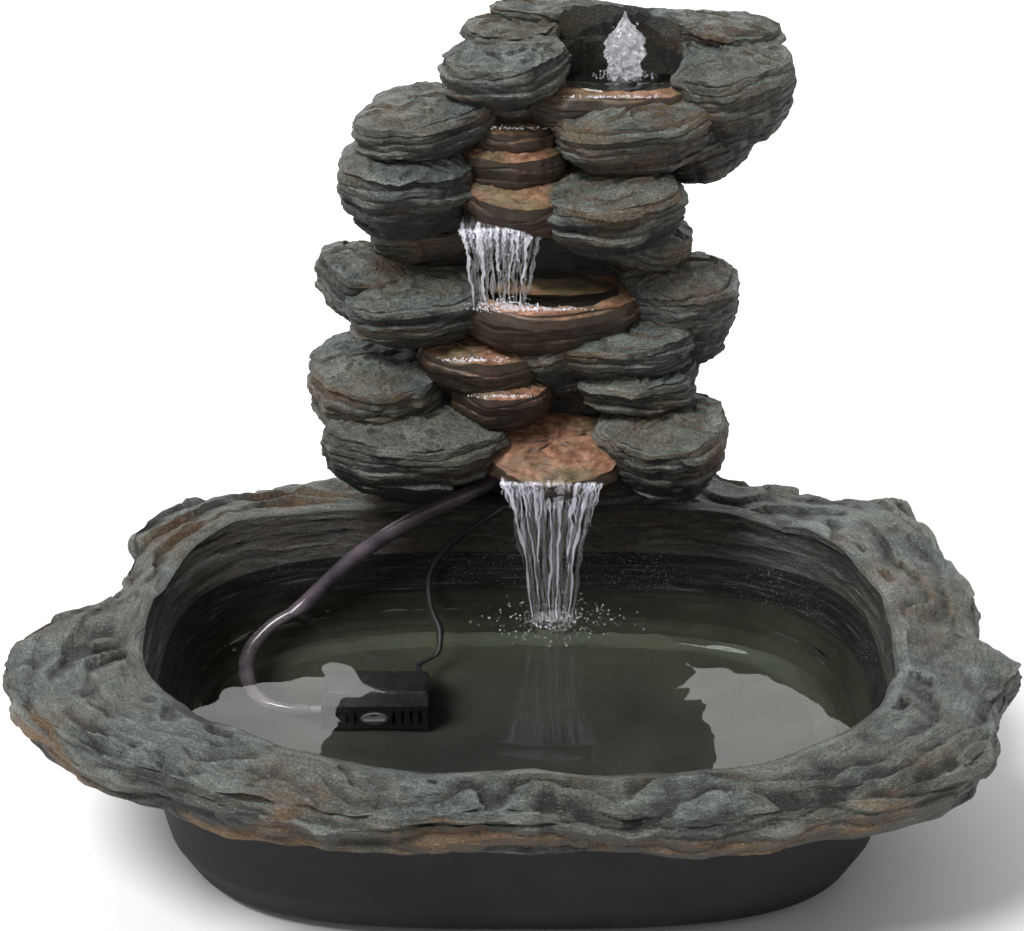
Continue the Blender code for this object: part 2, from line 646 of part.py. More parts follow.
def make_volute(frame, finishes):
    """The impeller chamber, with three intake holes in front and the outlet spigot to the left."""
    inside, outside = CHAMBER_RADIUS, CHAMBER_RADIUS + CHAMBER_WALL
    front = -CHAMBER_DEPTH
    cup = [(outside, front), (outside, -GAP), (inside, -GAP), (inside, front + CHAMBER_WALL)]
    mesh = turned(cup, 24, (0, 1, 0))
    volute = add_object("volute_cover", mesh, finishes["grey"], parent=frame, smooth=True)
    level = front / 2
    spigot = rod(OUTLET_RADIUS, (-inside - 0.001, level, 0), (-outlet_reach(), level, 0), 14)
    fuse(volute, "spigot", spigot)
    bore = rod(OUTLET_BORE, (-inside / 2, level, 0), (-outlet_reach() - BEYOND, level, 0), 14)
    cut(volute, "outlet_bore", bore)
    ring, hole_radius = 0.0095, 0.0032
    for number in range(3):
        angle = 2 * pi * number / 3 + pi / 2
        x, z = ring * cos(angle), ring * sin(angle)
        hole = rod(hole_radius, (x, front - BEYOND, z), (x, front / 2, z), 10)
        cut(volute, f"intake_{number + 1}", hole)


def outlet_reach():
    """How far the outlet spigot stands out from the rotor's axis."""
    return PUMP_LENGTH / 2 + 0.012


def make_rotor(frame, finishes):
    hub = 0.0055
    front, back = -0.0100, -0.0030
    impeller = add_object("impeller", ring_along_axis(hub, front, back), finishes["grey"], parent=frame)
    tip = CHAMBER_RADIUS - 0.0030
    half_blade = 0.0008
    for number in range(6):
        blade = block((hub - 0.001, front, -half_blade), (tip, back, half_blade))
        bmesh.ops.rotate(blade, verts=blade.verts, matrix=Matrix.Rotation(number * pi / 3, 3, "Y"))
        fuse(impeller, f"blade_{number + 1}", blade)
    chamber_face = -CHAMBER_DEPTH + CHAMBER_WALL + GAP
    well_face = WELL_DEPTH - GAP
    magnet = ring_along_axis(WELL_RADIUS - 0.0020, back + 0.0070, well_face - BUSH_LENGTH - 0.0013)
    add_object("rotor_magnet", magnet, finishes["magnet"], parent=frame, smooth=True)
    shaft = rod(SHAFT_RADIUS, (0, chamber_face, 0), (0, well_face, 0), 12)
    add_object("rotor_shaft", shaft, finishes["ceramic"], parent=frame, smooth=True)
    spans = {
        "shaft_bush_rear": (well_face - BUSH_LENGTH, well_face),
        "shaft_bush_front": (chamber_face, front - GAP),
    }
    for name, (low, high) in spans.items():
        mesh = ring_along_axis(BUSH_RADIUS, low, high)
        add_object(name, mesh, finishes["rubber"], parent=frame, smooth=True)


def ring_along_axis(radius, low, high):
    """A round piece that fits on the rotor's shaft, between two places along it."""
    bore = SHAFT_RADIUS + GAP
    return turned([(bore, low), (radius, low), (radius, high), (bore, high)], 20, (0, 1, 0), ring=True)


def make_strainer(frame, finishes):
    half_length, half_height = PUMP_LENGTH / 2, PUMP_HEIGHT / 2
    wall = STRAINER_WALL
    mesh = block((-half_length, -STRAINER_DEPTH, -half_height), (half_length, -GAP, half_height))
    cover = add_object("strainer_cover", mesh, finishes["black"], parent=frame)
    inside = block(
        (wall - half_length, wall - STRAINER_DEPTH, wall - half_height),
        (half_length - wall, BEYOND, half_height - wall),
    )
    cut(cover, "inside", inside)
    notch = OUTLET_RADIUS + 0.0010
    notch_low = -CHAMBER_DEPTH / 2 - notch
    outlet_notch = block((-half_length - BEYOND, notch_low, -notch), (-half_length / 2, BEYOND, notch))
    cut(cover, "outlet_notch", outlet_notch)
    front, behind = -STRAINER_DEPTH - BEYOND, -STRAINER_DEPTH / 2
    cut(cover, "dial_hole", rod(DIAL_NECK + GAP, (0, front, 0), (0, behind, 0), 16))
    port_height = DIAL_RADIUS * 0.6
    cut(cover, "port", rod(PORT_RADIUS, (0, front, port_height), (0, behind, port_height), 10))
    for side in (-1, 1):
        for step in range(4):
            middle = side * (DIAL_RADIUS + SLOT_SPACING * (step + 0.65))
            slot = block(
                (middle - SLOT_WIDTH / 2, front, -SLOT_HEIGHT / 2),
                (middle + SLOT_WIDTH / 2, behind, SLOT_HEIGHT / 2),
            )
            cut(cover, f"slot_{side}_{step}", slot)
    make_dial(frame, finishes, port_height)


def make_dial(frame, finishes, port_height):
    face = -STRAINER_DEPTH - GAP
    front = face - DIAL_THICKNESS
    clip = -STRAINER_DEPTH + STRAINER_WALL + GAP
    profile = [
        (DIAL_RADIUS * 0.94, front), (DIAL_RADIUS, front + DIAL_THICKNESS * 0.25), (DIAL_RADIUS, face),
        (DIAL_NECK, face), (DIAL_NECK, clip), (DIAL_NECK + 0.0012, clip), (DIAL_NECK, clip + 0.0014),
    ]
    mesh = turned(profile, 20, (0, 1, 0))
    dial = add_object("flow_regulator", mesh, finishes["grey"], parent=frame, smooth=True)
    reach, half_grip, proud = DIAL_RADIUS * 0.75, 0.0012, 0.0040
    fuse(dial, "grip", block((-reach, front - proud, -half_grip), (reach, front + 0.001, half_grip)))
    port = rod(PORT_RADIUS, (0, front - BEYOND, port_height), (0, face + 0.0015, port_height), 10)
    cut(dial, "port", port)


def make_suction_cups(frame, finishes):
    bottom = -PUMP_HEIGHT / 2 - GAP
    profile = [
        (CUP_RADIUS, -CUP_HEIGHT), (CUP_RADIUS, -CUP_HEIGHT * 0.9),
        (CUP_RADIUS * 0.55, -CUP_HEIGHT * 0.55), (CUP_RADIUS * 0.30, -CUP_HEIGHT * 0.40),
        (CUP_RADIUS * 0.30, 0.0),
    ]
    number = 0
    for y in (CUP_RADIUS + 0.001, MOTOR_DEPTH - CUP_RADIUS - 0.001):
        for x in (-PUMP_LENGTH / 2 + 0.014, PUMP_LENGTH / 2 - 0.014):
            number += 1
            cup = turned(profile, 12)
            add_object(
                f"suction_cup_{number}", cup, finishes["rubber"], (x, y, bottom), frame, smooth=True
            )


def gland_place():
    """Where the lead's gland stands on the back of the pump, and where its tip is."""
    root = pump_origin() + Vector((PUMP_LENGTH / 2 - 0.011, MOTOR_DEPTH + GAP, 0.0))
    return root, root + Vector((0.0, GLAND_LENGTH, 0.0))


def make_gland(finishes):
    root, tip = gland_place()
    length = (tip - root).length
    profile = [
        (0.0072, 0.0), (0.0072, 0.004), (0.0058, 0.005), (0.0052, length * 0.55),
        (CORD_DIAMETER / 2 + 0.0010, length),
    ]
    add_object("cord_gland", turned(profile, 14, tip - root), finishes["rubber"], root, smooth=True)


# ---- Hose, lead and plug ----
def make_hose(finishes):
    spigot_tip = pump_origin() + Vector((-outlet_reach() - GAP, -CHAMBER_DEPTH / 2, 0))
    straight = spigot_tip + Vector((-0.014, 0, 0))
    top = nozzle_foot() - Vector((0, 0, GAP))
    below = top - Vector((0, 0, 0.030))
    tube("feed_hose", [spigot_tip, straight, *HOSE_ROUTE, below, top], HOSE_DIAMETER, finishes["hose"])


def make_lead(finishes):
    root, tip = gland_place()
    start = tip + Vector((0, GAP, 0))
    x, z = grommet_place()
    through = [(x, TOWER_BACK + y, z) for y in (-0.026, -0.018, 0.006, 0.012)]
    end = beside_coil(0)
    route = [start, start + Vector((0, 0.010, 0)), *CORD_ROUTE, *through, *CORD_DROP, end]
    tube("power_cord", route, CORD_DIAMETER, finishes["lead"])


def coil_middle():
    return Vector((*COIL_PLACE, COIL_BUNDLE / 2 + TIE_THICKNESS + 2 * GAP))


def beside_coil(angle):
    """A point on the ground where the lead lies against the coil's outer side."""
    reach = COIL_TURN / 2 + COIL_BUNDLE / 2 + 2 * GAP + CORD_DIAMETER / 2
    return Vector((
        COIL_PLACE[0] + reach * cos(angle), COIL_PLACE[1] + reach * sin(angle), CORD_DIAMETER / 2 + GAP
    ))


def make_coil(finishes):
    middle = COIL_TURN / 2
    half = COIL_BUNDLE / 2
    chamfer = half * 0.45
    section = [
        (middle - half, -half + chamfer), (middle - half + chamfer, -half), (middle + half - chamfer, -half),
        (middle + half, -half + chamfer), (middle + half, half - chamfer), (middle + half - chamfer, half),
        (middle - half + chamfer, half), (middle - half, half - chamfer),
    ]
    coil = turned(section, 28, ring=True)
    add_object("cord_coil", coil, finishes["lead"], coil_middle(), smooth=True)
    make_tie(finishes)


def make_tie(finishes):
    """A flat tie round the bundle, on the coil's near side."""
    inner = COIL_BUNDLE / 2 + GAP
    outer = inner + TIE_THICKNESS
    half_width = 0.0040
    bend = 0.0006  # room for the bundle's curve across the tie's width
    loops = []
    for y, reach in ((-half_width, inner), (-half_width, outer), (half_width, outer), (half_width, inner)):
        side = reach + bend
        loops.append([(-side, y, -reach), (side, y, -reach), (side, y, reach), (-side, y, reach)])
    place = coil_middle() + Vector((-COIL_TURN / 2, 0, 0))
    add_object("coil_tie", skin(bmesh.new(), loops, ring=True), finishes["grey"], place)


def plug_place():
    return Vector((COIL_PLACE[0] - 0.112, COIL_PLACE[1] - 0.036, 0.0085))


def make_plug(finishes):
    back = plug_place()
    relief_root = back + Vector((GAP, 0, 0))
    length = 0.026
    relief = [(0.0056, 0.0), (0.0056, 0.003), (0.0046, 0.004), (CORD_DIAMETER / 2 + 0.0008, length)]
    mesh = turned(relief, 14, (1, 0, 0))
    add_object("plug_strain_relief", mesh, finishes["lead"], relief_root, smooth=True)
    half_width, half_height, depth = 0.0130, 0.0080, 0.036
    loops = []
    for x, share in ((0.0, 0.62), (0.004, 0.78), (0.020, 0.95), (depth - 0.002, 1.0), (depth, 0.92)):
        loop = []
        for i in range(16):
            angle = 2 * pi * i / 16
            reach = (abs(cos(angle) / half_width) ** 3 + abs(sin(angle) / half_height) ** 3) ** (-1 / 3)
            loop.append((-x, share * reach * cos(angle), share * reach * sin(angle)))
        loops.append(loop)
    add_object("plug_body", skin(bmesh.new(), loops), finishes["lead"], back, smooth=True)
    for number, y in enumerate((-0.0085, 0.0085), 1):
        pin = [(0.0020, 0.0), (0.0020, 0.0175), (0.0012, 0.0190)]
        place = back - Vector((depth + GAP, -y, 0))
        add_object(f"plug_pin_{number}", turned(pin, 12, (-1, 0, 0)), finishes["brass"], place, smooth=True)
    end = relief_root + Vector((length + GAP, 0, 0))
    start = beside_coil(-pi / 2)
    straight = [start - Vector((0.014, 0, 0)), end + Vector((0.010, 0, 0))]
    tube("power_cord_tail", [start, *straight, end], CORD_DIAMETER, finishes["lead"])


def main():
    clear_scene()
    finishes = make_finishes()
    make_basin_bowl(finishes)
    make_basin_rim(finishes)
    make_tower_shell(finishes)
    make_hatch(finishes)
    make_grommet(finishes)
    make_nozzle(finishes)
    frame = make_pump_frame()
    make_pump_housing(frame, finishes)
    make_volute(frame, finishes)
    make_rotor(frame, finishes)
    make_strainer(frame, finishes)
    make_suction_cups(frame, finishes)
    make_gland(finishes)
    make_hose(finishes)
    make_lead(finishes)
    make_coil(finishes)
    make_plug(finishes)


main()
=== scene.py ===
"""Rock cascade fountain with a catch basin: the looks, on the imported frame. Metres, +Z up, front at -Y."""

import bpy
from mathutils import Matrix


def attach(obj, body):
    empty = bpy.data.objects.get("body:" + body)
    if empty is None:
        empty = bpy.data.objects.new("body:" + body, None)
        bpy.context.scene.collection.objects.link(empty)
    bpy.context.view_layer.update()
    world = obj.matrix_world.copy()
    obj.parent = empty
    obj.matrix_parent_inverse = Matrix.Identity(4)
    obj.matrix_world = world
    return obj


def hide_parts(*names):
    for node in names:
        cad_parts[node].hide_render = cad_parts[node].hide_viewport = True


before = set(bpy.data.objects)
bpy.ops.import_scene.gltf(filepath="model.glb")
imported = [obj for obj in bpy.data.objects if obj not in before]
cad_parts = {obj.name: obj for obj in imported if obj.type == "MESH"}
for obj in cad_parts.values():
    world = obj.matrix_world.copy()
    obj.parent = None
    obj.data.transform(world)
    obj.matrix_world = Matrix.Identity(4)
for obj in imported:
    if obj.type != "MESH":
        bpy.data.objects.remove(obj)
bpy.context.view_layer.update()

from math import cos, exp, floor, hypot, pi, radians, sin

import bmesh
import bpy
from mathutils import Euler, Vector, noise
from mathutils.geometry import interpolate_bezier

scene = bpy.context.scene
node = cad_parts


# ---- Basin bowl ----
# A plain dark dish of glass-fibre and resin, moulded in one piece. It carries the rim casting on a
# flange and holds the water, so its inner wall is stained and its floor has an olive film.
OPENING_LENGTH = 0.676
OPENING_DEPTH = 0.506
OPENING_POWER = 3.2
OPENING_SHIFT = -0.015
BOWL_PROFILE = [
    (0.000, 0.050, 0.00), (0.012, 0.028, 0.00), (0.045, 0.012, 0.25), (0.140, -0.004, 1.0),
    (0.140, -0.013, 1.0), (0.150, -0.013, 1.0), (0.150, 0.006, 1.0), (0.108, 0.014, 0.55),
    (0.050, 0.026, 0.25), (0.028, 0.038, 0.10), (0.018, 0.060, 0.00),
]


def opening_radius(angle, inset=0.0):
    along = abs(cos(angle) / (OPENING_LENGTH / 2 - inset)) ** OPENING_POWER
    across = abs(sin(angle) / (OPENING_DEPTH / 2 - inset)) ** OPENING_POWER
    return (along + across) ** (-1 / OPENING_POWER)


def dish_point(angle, inset, shift, height):
    reach = opening_radius(angle, inset)
    return Vector((reach * cos(angle), reach * sin(angle) + shift * OPENING_SHIFT, height))


def on_oval(middle, reach, angle, height):
    return (middle[0] + reach[0] * cos(angle), middle[1] + reach[1] * sin(angle), height)


def around(sides):
    """The angles of evenly spaced sides."""
    return [2 * pi * i / sides for i in range(sides)]


def linked(name, data):
    item = bpy.data.objects.new(name, data)
    scene.collection.objects.link(item)
    return item


def closed_mesh(name, loops, ring=False, reliefs=None, smooth=35, layups=None):
    """A closed skin through loops of equal length. A ring joins its last loop to its first."""
    count, rows = len(loops[0]), len(loops)
    points = [point for loop in loops for point in loop]
    faces = []
    for row in range(rows if ring else rows - 1):
        low, high = row * count, (row + 1) % rows * count
        for i in range(count):
            j = (i + 1) % count
            faces.append((low + i, low + j, high + j, high + i))
    if not ring:
        faces.append(tuple(range(count - 1, -1, -1)))
        faces.append(tuple(range((rows - 1) * count, rows * count)))
    data = bpy.data.meshes.new(name)
    data.from_pydata(points, [], faces)
    if reliefs:
        layer = data.attributes.new("relief", "FLOAT", "POINT")
        layer.data.foreach_set("value", [value for row in reliefs for value in row])
        layer = data.attributes.new("layup", "FLOAT_VECTOR", "POINT")
        numbers = [value for row in layups or loops for point in row for value in point]
        layer.data.foreach_set("vector", numbers)
    shape = bmesh.new()
    shape.from_mesh(data)
    bmesh.ops.recalc_face_normals(shape, faces=shape.faces)
    shape.to_mesh(data)
    shape.free()
    data.shade_smooth()
    data.set_sharp_from_angle(angle=radians(smooth))
    return linked(name, data)


def grain(x, y, z):
    return noise.noise(Vector((x, y, z)))


def new_tree(name, outputs, inputs=()):
    """A shader group that gives the varying values named in outputs."""
    tree = bpy.data.node_groups.new(name, "ShaderNodeTree")
    for label, kind in inputs:
        tree.interface.new_socket(label, in_out="INPUT", socket_type=kind)
    for label, kind in outputs:
        tree.interface.new_socket(label, in_out="OUTPUT", socket_type=kind)
    return tree


def put(tree, kind, values=(), **settings):
    """Adds a node. values are (socket, number or colour or another node's socket)."""
    item = tree.nodes.new(kind)
    for key, value in settings.items():
        setattr(item, key, value)
    for socket, value in values:
        if isinstance(value, bpy.types.NodeSocket):
            tree.links.new(value, item.inputs[socket])
        else:
            item.inputs[socket].default_value = value
    return item


def stretched(tree, coordinates, scale, detail=4.0, rough=0.55):
    """Noise with its own scale along each axis."""
    place = put(tree, "ShaderNodeMapping", [(0, coordinates), (3, scale)]).outputs[0]
    return put(tree, "ShaderNodeTexNoise", [(0, place), (2, 1.0), (3, detail), (4, rough)]).outputs[0]


def ramp(tree, value, stops):
    item = put(tree, "ShaderNodeValToRGB", [(0, value)])
    steps = item.color_ramp.elements
    while len(steps) < len(stops):
        steps.new(0.5)
    for step, (place, colour) in zip(steps, stops):
        step.position = place
        step.color = (*colour, 1.0)
    return item.outputs[0]


def mixed(tree, share, first, second, mode="MIX"):
    item = put(tree, "ShaderNodeMix", data_type="RGBA", blend_type=mode, clamp_factor=True)
    for socket, value in ((0, share), (6, first), (7, second)):
        if isinstance(value, bpy.types.NodeSocket):
            tree.links.new(value, item.inputs[socket])
        else:
            item.inputs[socket].default_value = value
    return item.outputs[2]


def range_of(tree, value, low, high, to_low=0.0, to_high=1.0):
    values = [(0, value), (1, low), (2, high), (3, to_low), (4, to_high)]
    return put(tree, "ShaderNodeMapRange", values, clamp=True).outputs[0]


def maths(tree, kind, first, second=0.0):
    return put(tree, "ShaderNodeMath", [(0, first), (1, second)], operation=kind).outputs[0]


def blended(tree, *pairs):
    """The sum of values, each times its weight."""
    total = None
    for value, weight in pairs:
        if weight != 1.0:
            value = maths(tree, "MULTIPLY", value, weight)
        total = value if total is None else maths(tree, "ADD", total, value)
    return total


def height_of(tree, vector):
    return put(tree, "ShaderNodeSeparateXYZ", [(0, vector)]).outputs[2]


def give_out(tree, *values):
    """Joins values to the group's outputs in their order."""
    end = put(tree, "NodeGroupOutput")
    for index, value in enumerate(values):
        tree.links.new(value, end.inputs[index])


def new_material(name, colour, roughness, metallic=0.0, **constants):
    material = bpy.data.materials.new(name)
    material.use_nodes = True
    shader = material.node_tree.nodes["Principled BSDF"]
    shader.inputs["Base Color"].default_value = (*colour, 1.0)
    shader.inputs["Roughness"].default_value = roughness
    shader.inputs["Metallic"].default_value = metallic
    for key, value in constants.items():
        shader.inputs[key.replace("_", " ")].default_value = value
    material.diffuse_color = (*colour, 1.0)
    return material


def use_group(material, group, values=()):
    """Feeds a shader group's outputs to the material's shader sockets of the same name."""
    tree = material.node_tree
    shader = tree.nodes["Principled BSDF"]
    item = tree.nodes.new("ShaderNodeGroup")
    item.node_tree = group
    for socket, value in values:
        item.inputs[socket].default_value = value
    for output in item.outputs:
        if output.name in shader.inputs:
            tree.links.new(output, shader.inputs[output.name])
    return item


BOWL_SIDES = 260
bowl_levels = []
for start, end in zip(BOWL_PROFILE, BOWL_PROFILE[1:]):
    steps = max(2, round(hypot(end[0] - start[0], end[1] - start[1]) / 0.004))
    bowl_levels += [[a + (b - a) * i / steps for a, b in zip(start, end)] for i in range(steps)]
bowl_levels.append(list(BOWL_PROFILE[-1]))
bowl_loops = []
for height, inset, shift in bowl_levels:
    loop = []
    for angle in around(BOWL_SIDES):
        point = dish_point(angle, inset, shift, height)
        inside = inset > -0.012 and 0.018 < height < 0.149 and inset > 0.0065 + (0.149 - height) * 0.12
        wave = 0.0
        if inside:
            wave = 0.0009 * grain(point.x * 12, point.y * 12, height * 260) + 0.0008 * grain(*(point * 60))
        elif 0.012 < height < 0.139:
            wave = 0.0010 * grain(*(point * 18)) + 0.0004 * grain(*(point * 90))
        loop.append(dish_point(angle, inset - wave, shift, height))
    bowl_loops.append(loop)
bowl = closed_mesh("bowl_casting_skin", bowl_loops)

SURFACE = [
    ("Base Color", "NodeSocketColor"), ("Roughness", "NodeSocketFloat"), ("Normal", "NodeSocketVector"),
]
bowl_looks = new_tree("dark_resin", SURFACE)
here = put(bowl_looks, "ShaderNodeTexCoord").outputs["Object"]
height_here = height_of(bowl_looks, here)
cloud = stretched(bowl_looks, here, (14, 14, 14))
streaks = stretched(bowl_looks, here, (16, 16, 330), 5.0, 0.65)
speckle = stretched(bowl_looks, here, (420, 420, 700), 2.0)
plain = ramp(bowl_looks, cloud, [(0.25, (0.010, 0.010, 0.011)), (0.75, (0.026, 0.026, 0.027))])
wall = ramp(bowl_looks, streaks, [(0.35, (0.006, 0.006, 0.006)), (0.58, (0.020, 0.021, 0.019)),
                                  (0.74, (0.100, 0.102, 0.092))])
olive = ramp(bowl_looks, cloud, [(0.20, (0.016, 0.017, 0.011)), (0.80, (0.036, 0.037, 0.025))])
facing = put(bowl_looks, "ShaderNodeNewGeometry").outputs["Normal"]
radial = put(bowl_looks, "ShaderNodeVectorMath", [(0, facing), (1, here)], operation="DOT_PRODUCT")
is_inside = range_of(bowl_looks, radial.outputs["Value"], 0.03, -0.01)
under_water = range_of(bowl_looks, height_here, 0.112, 0.104)
inside_colour = mixed(bowl_looks, under_water, wall, olive)
chips = range_of(bowl_looks, speckle, 0.60, 0.70)
chips = maths(bowl_looks, "MULTIPLY", chips, range_of(bowl_looks, cloud, 0.40, 0.62, 0.1, 0.8))
dry = range_of(bowl_looks, height_here, 0.104, 0.116)
chips = maths(bowl_looks, "MULTIPLY", chips, dry)
inside_colour = mixed(bowl_looks, chips, inside_colour, (0.24, 0.24, 0.22, 1))
final = mixed(bowl_looks, is_inside, plain, inside_colour)
raised = maths(bowl_looks, "MULTIPLY", streaks, dry)
bump = put(bowl_looks, "ShaderNodeBump", [(0, 0.35), (1, 0.0006), (3, raised)]).outputs[0]
give_out(bowl_looks, final, range_of(bowl_looks, cloud, 0.2, 0.8, 0.55, 0.80), bump)
bowl_finish = new_material("dark_bowl_resin", (0.02, 0.02, 0.02), 0.7, Specular_IOR_Level=0.18)
use_group(bowl_finish, bowl_looks)
bowl.data.materials.append(bowl_finish)
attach(bowl, "fountain")
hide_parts("basin_bowl")


# ---- Rim casting ----
# One hollow casting that looks like layered slate and sits over the bowl's flange. Its laminations
# run round it, with broken ledges, rust in the clefts and a wide deck behind for the tower; its clefts,
# undersides and inner wall carry painted shade, and its tops are painted lighter.
BASIN_HEIGHT = 0.200
BOWL_SEAT = 0.1503
RIM_FOOT = 0.147
DECK_WIDTH = 0.135
RIM_SKIN = 0.010
# angle in degrees, inset of the inner edge, width, rise of the top
RIM_LEDGES = [
    (0, 0.000, 0.085, -0.004), (10, 0.004, 0.092, 0.002), (21, 0.008, 0.088, -0.002),
    (30, 0.004, 0.106, 0.004), (36, 0.000, 0.136, 0.002), (42, 0.000, 0.108, -0.004),
    (50, -0.004, 0.092, 0.000), (61, 0.000, 0.112, 0.000), (75, 0.004, DECK_WIDTH, 0.000),
    (90, 0.006, DECK_WIDTH, 0.000), (105, 0.004, DECK_WIDTH, 0.000), (119, 0.000, 0.104, 0.000),
    (132, -0.008, 0.096, 0.000), (142, -0.012, 0.102, 0.004), (150, -0.008, 0.090, 0.000),
    (158, -0.002, 0.060, -0.006), (165, -0.002, 0.044, -0.004), (171, -0.004, 0.056, 0.002),
    (177, -0.004, 0.104, 0.000), (182, -0.004, 0.132, -0.006), (188, -0.002, 0.126, -0.004),
    (196, 0.006, 0.110, 0.002), (207, 0.028, 0.082, 0.002), (218, 0.038, 0.060, 0.000),
    (231, 0.018, 0.068, 0.004), (245, 0.006, 0.066, -0.002), (258, 0.000, 0.060, 0.000),
    (272, 0.000, 0.063, 0.003), (285, -0.002, 0.058, -0.002), (298, 0.000, 0.080, 0.000),
    (310, 0.004, 0.078, -0.004), (321, 0.010, 0.090, 0.002), (331, 0.010, 0.104, 0.004),
    (340, 0.010, 0.088, 0.000), (348, 0.004, 0.096, -0.004), (354, 0.004, 0.114, -0.006),
    (360, 0.000, 0.085, -0.004),
]


def smooth_step(value, low, high):
    """0 below low, 1 above high, and an S curve between."""
    share = min(max((value - low) / (high - low), 0.0), 1.0)
    return share * share * (3 - 2 * share)


def laminated(x, y, height, thickness, seed):
    """How far a lamination stands out here, from about -1 in a cleft to 1 on a broken ledge."""
    level = height / thickness + 1.6 * grain(x * 6, y * 6, seed)
    level += 0.7 * grain(x * 23, y * 23, height * 30 + seed)
    number = floor(level)
    within = level - number
    lip = broken_lip(x, y, number * 3.7 + seed)
    above = broken_lip(x, y, number * 3.7 + 3.7 + seed)
    step = smooth_step(within, 0.78, 0.97)
    cleft = max(0.0, 1 - abs(within - 0.86) / 0.15) * (0.6 + 0.8 * abs(grain(x * 12, y * 12, number + seed)))
    return 1.6 * (lip + (above - lip) * step) - 0.6 * cleft


def broken_lip(x, y, layer):
    """How far one layer stands out: a slow line with square chips broken out of it."""
    line = grain(x * 12, y * 12, layer) + 0.5 * grain(x * 37, y * 37, layer * 1.4)
    return 0.45 * line + 0.55 * round(line * 3.2) / 3.2


def terraced(value, steps):
    """Broad treads with short risers between them."""
    level = value * steps
    number = floor(level)
    return (number + smooth_step(level - number, 0.76, 0.97)) / steps


def rim_shape(degrees):
    """The rim's inset, width and rise in one direction."""
    for before, after in zip(RIM_LEDGES, RIM_LEDGES[1:]):
        if before[0] <= degrees <= after[0]:
            along = (degrees - before[0]) / (after[0] - before[0])
            share = (smooth_step(along, 0.0, 1.0) + along) / 2
            return [a + (b - a) * share for a, b in zip(before[1:], after[1:])]


RIM_SIDES = 780
# steps along each run of the cross-section, and what it is: 1 inner wall, 2 top, 3 outer face, 0 hidden
rim_steps = [10, 8, 5, 34, 10, 8, 26, 2, 3, 3, 3]
rim_zones = [1, 1, 1, 2, 2, 3, 3, 0, 0, 0, 0]
rim_loops, rim_relief, rim_layup = [], [], []
for i in range(RIM_SIDES):
    degrees = 360 * i / RIM_SIDES
    angle = radians(degrees)
    inset, width, rise = rim_shape(degrees)
    edge = opening_radius(angle)
    away = Vector((cos(angle), sin(angle)))
    x, y = edge * away.x, edge * away.y
    deck = smooth_step(degrees, 62, 72) * (1 - smooth_step(degrees, 108, 118))
    wander = 0.006 * grain(x * 22, y * 22, 2.0) + 0.004 * grain(x * 55, y * 55, 7.0)
    width += wander * (1 - deck)
    inset += 0.004 * grain(x * 20, y * 20, 12.0) * (1 - 0.5 * deck)
    top = BASIN_HEIGHT + rise * (1 - deck)
    under_top = BASIN_HEIGHT - 0.022
    section = [
        (-0.006, BOWL_SEAT), (-inset * 0.5, under_top), (-inset, top - 0.004),
        (0.016 - inset, top), (width - 0.026, top - 0.002), (width - 0.006, top - 0.010),
        (width, top - 0.024), (width - 0.014, RIM_FOOT), (width - 0.024, RIM_FOOT),
        (max(width - 0.030, 0.015), under_top), (RIM_SKIN + 0.004, under_top), (RIM_SKIN - 0.004, BOWL_SEAT),
    ]
    loop, reliefs, layups, walked = [], [], [], 0.0
    for part, (start, finish_at) in enumerate(zip(section, section[1:])):
        run = Vector(finish_at) - Vector(start)
        walked += run.length
        outward = Vector((-run.y, run.x)).normalized()
        for step in range(rim_steps[part]):
            share = step / rim_steps[part]
            out = start[0] + run.x * share
            height = start[1] + run.y * share
            x, y = (edge + out) * away.x, (edge + out) * away.y
            push, relief = 0.0, 0.0
            if rim_zones[part] == 1:
                relief = laminated(x, y, height, 0.0042, 3.0)
                push = 0.0011 * relief * min(1.0, (height - BOWL_SEAT) / 0.006)
            elif rim_zones[part] == 2:
                far = out / 0.10
                drift = grain(away.x * 3.4, away.y * 3.4, out * 10)
                drift += 0.35 * grain(away.x * 9, away.y * 9, out * 26)
                chip = round(2.6 * grain(x * 21, y * 21, 8.0)) / 2.6
                bands = far * 1.5 + 0.80 * drift + 0.14 * chip
                shelf = terraced(bands, 1.9) - bands
                vary = 0.75 + 1.1 * grain(x * 13, y * 13, 6.0)
                flake = round(3.2 * grain(x * 33, y * 33, 9.0) + 1.4 * grain(x * 70, y * 70, 3.0)) / 3.2
                relief = 2.6 * shelf * vary + 0.5 * grain(x * 70, y * 70, 5.0) + 0.6 * flake
                gentle = 1 - 0.85 * deck * smooth_step(out, 0.02, 0.05)
                rough = 0.0022 * flake + 0.0011 * grain(x * 120, y * 120, 1.0)
                push = (0.017 * shelf * vary + 0.0030 * grain(x * 9, y * 9, 4.0) + rough) * gentle
                push *= smooth_step(out + inset, 0.0, 0.02)
            elif rim_zones[part] == 3:
                relief = laminated(x, y, height, 0.0115, 6.0)
                fade = smooth_step(height, RIM_FOOT, RIM_FOOT + 0.006)
                push = 0.0056 * relief * fade + 0.0010 * grain(x * 80, y * 80, height * 80)
                push *= 1 - 0.6 * deck
            reliefs.append(relief)
            layups.append((away.x * 0.35, away.y * 0.35, walked + run.length * (share - 1)))
            out += outward.x * push
            height = max(height + outward.y * push, RIM_FOOT)
            loop.append(((edge + out) * away.x, (edge + out) * away.y + OPENING_SHIFT, height))
    out = section[-1][0]
    loop.append(((edge + out) * away.x, (edge + out) * away.y + OPENING_SHIFT, BOWL_SEAT))
    reliefs.append(0.0)
    layups.append((away.x * 0.35, away.y * 0.35, walked))
    rim_loops.append(loop)
    rim_relief.append(reliefs)
    rim_layup.append(layups)
rim = closed_mesh("rim_slate_casting", rim_loops, True, rim_relief, 32, rim_layup)

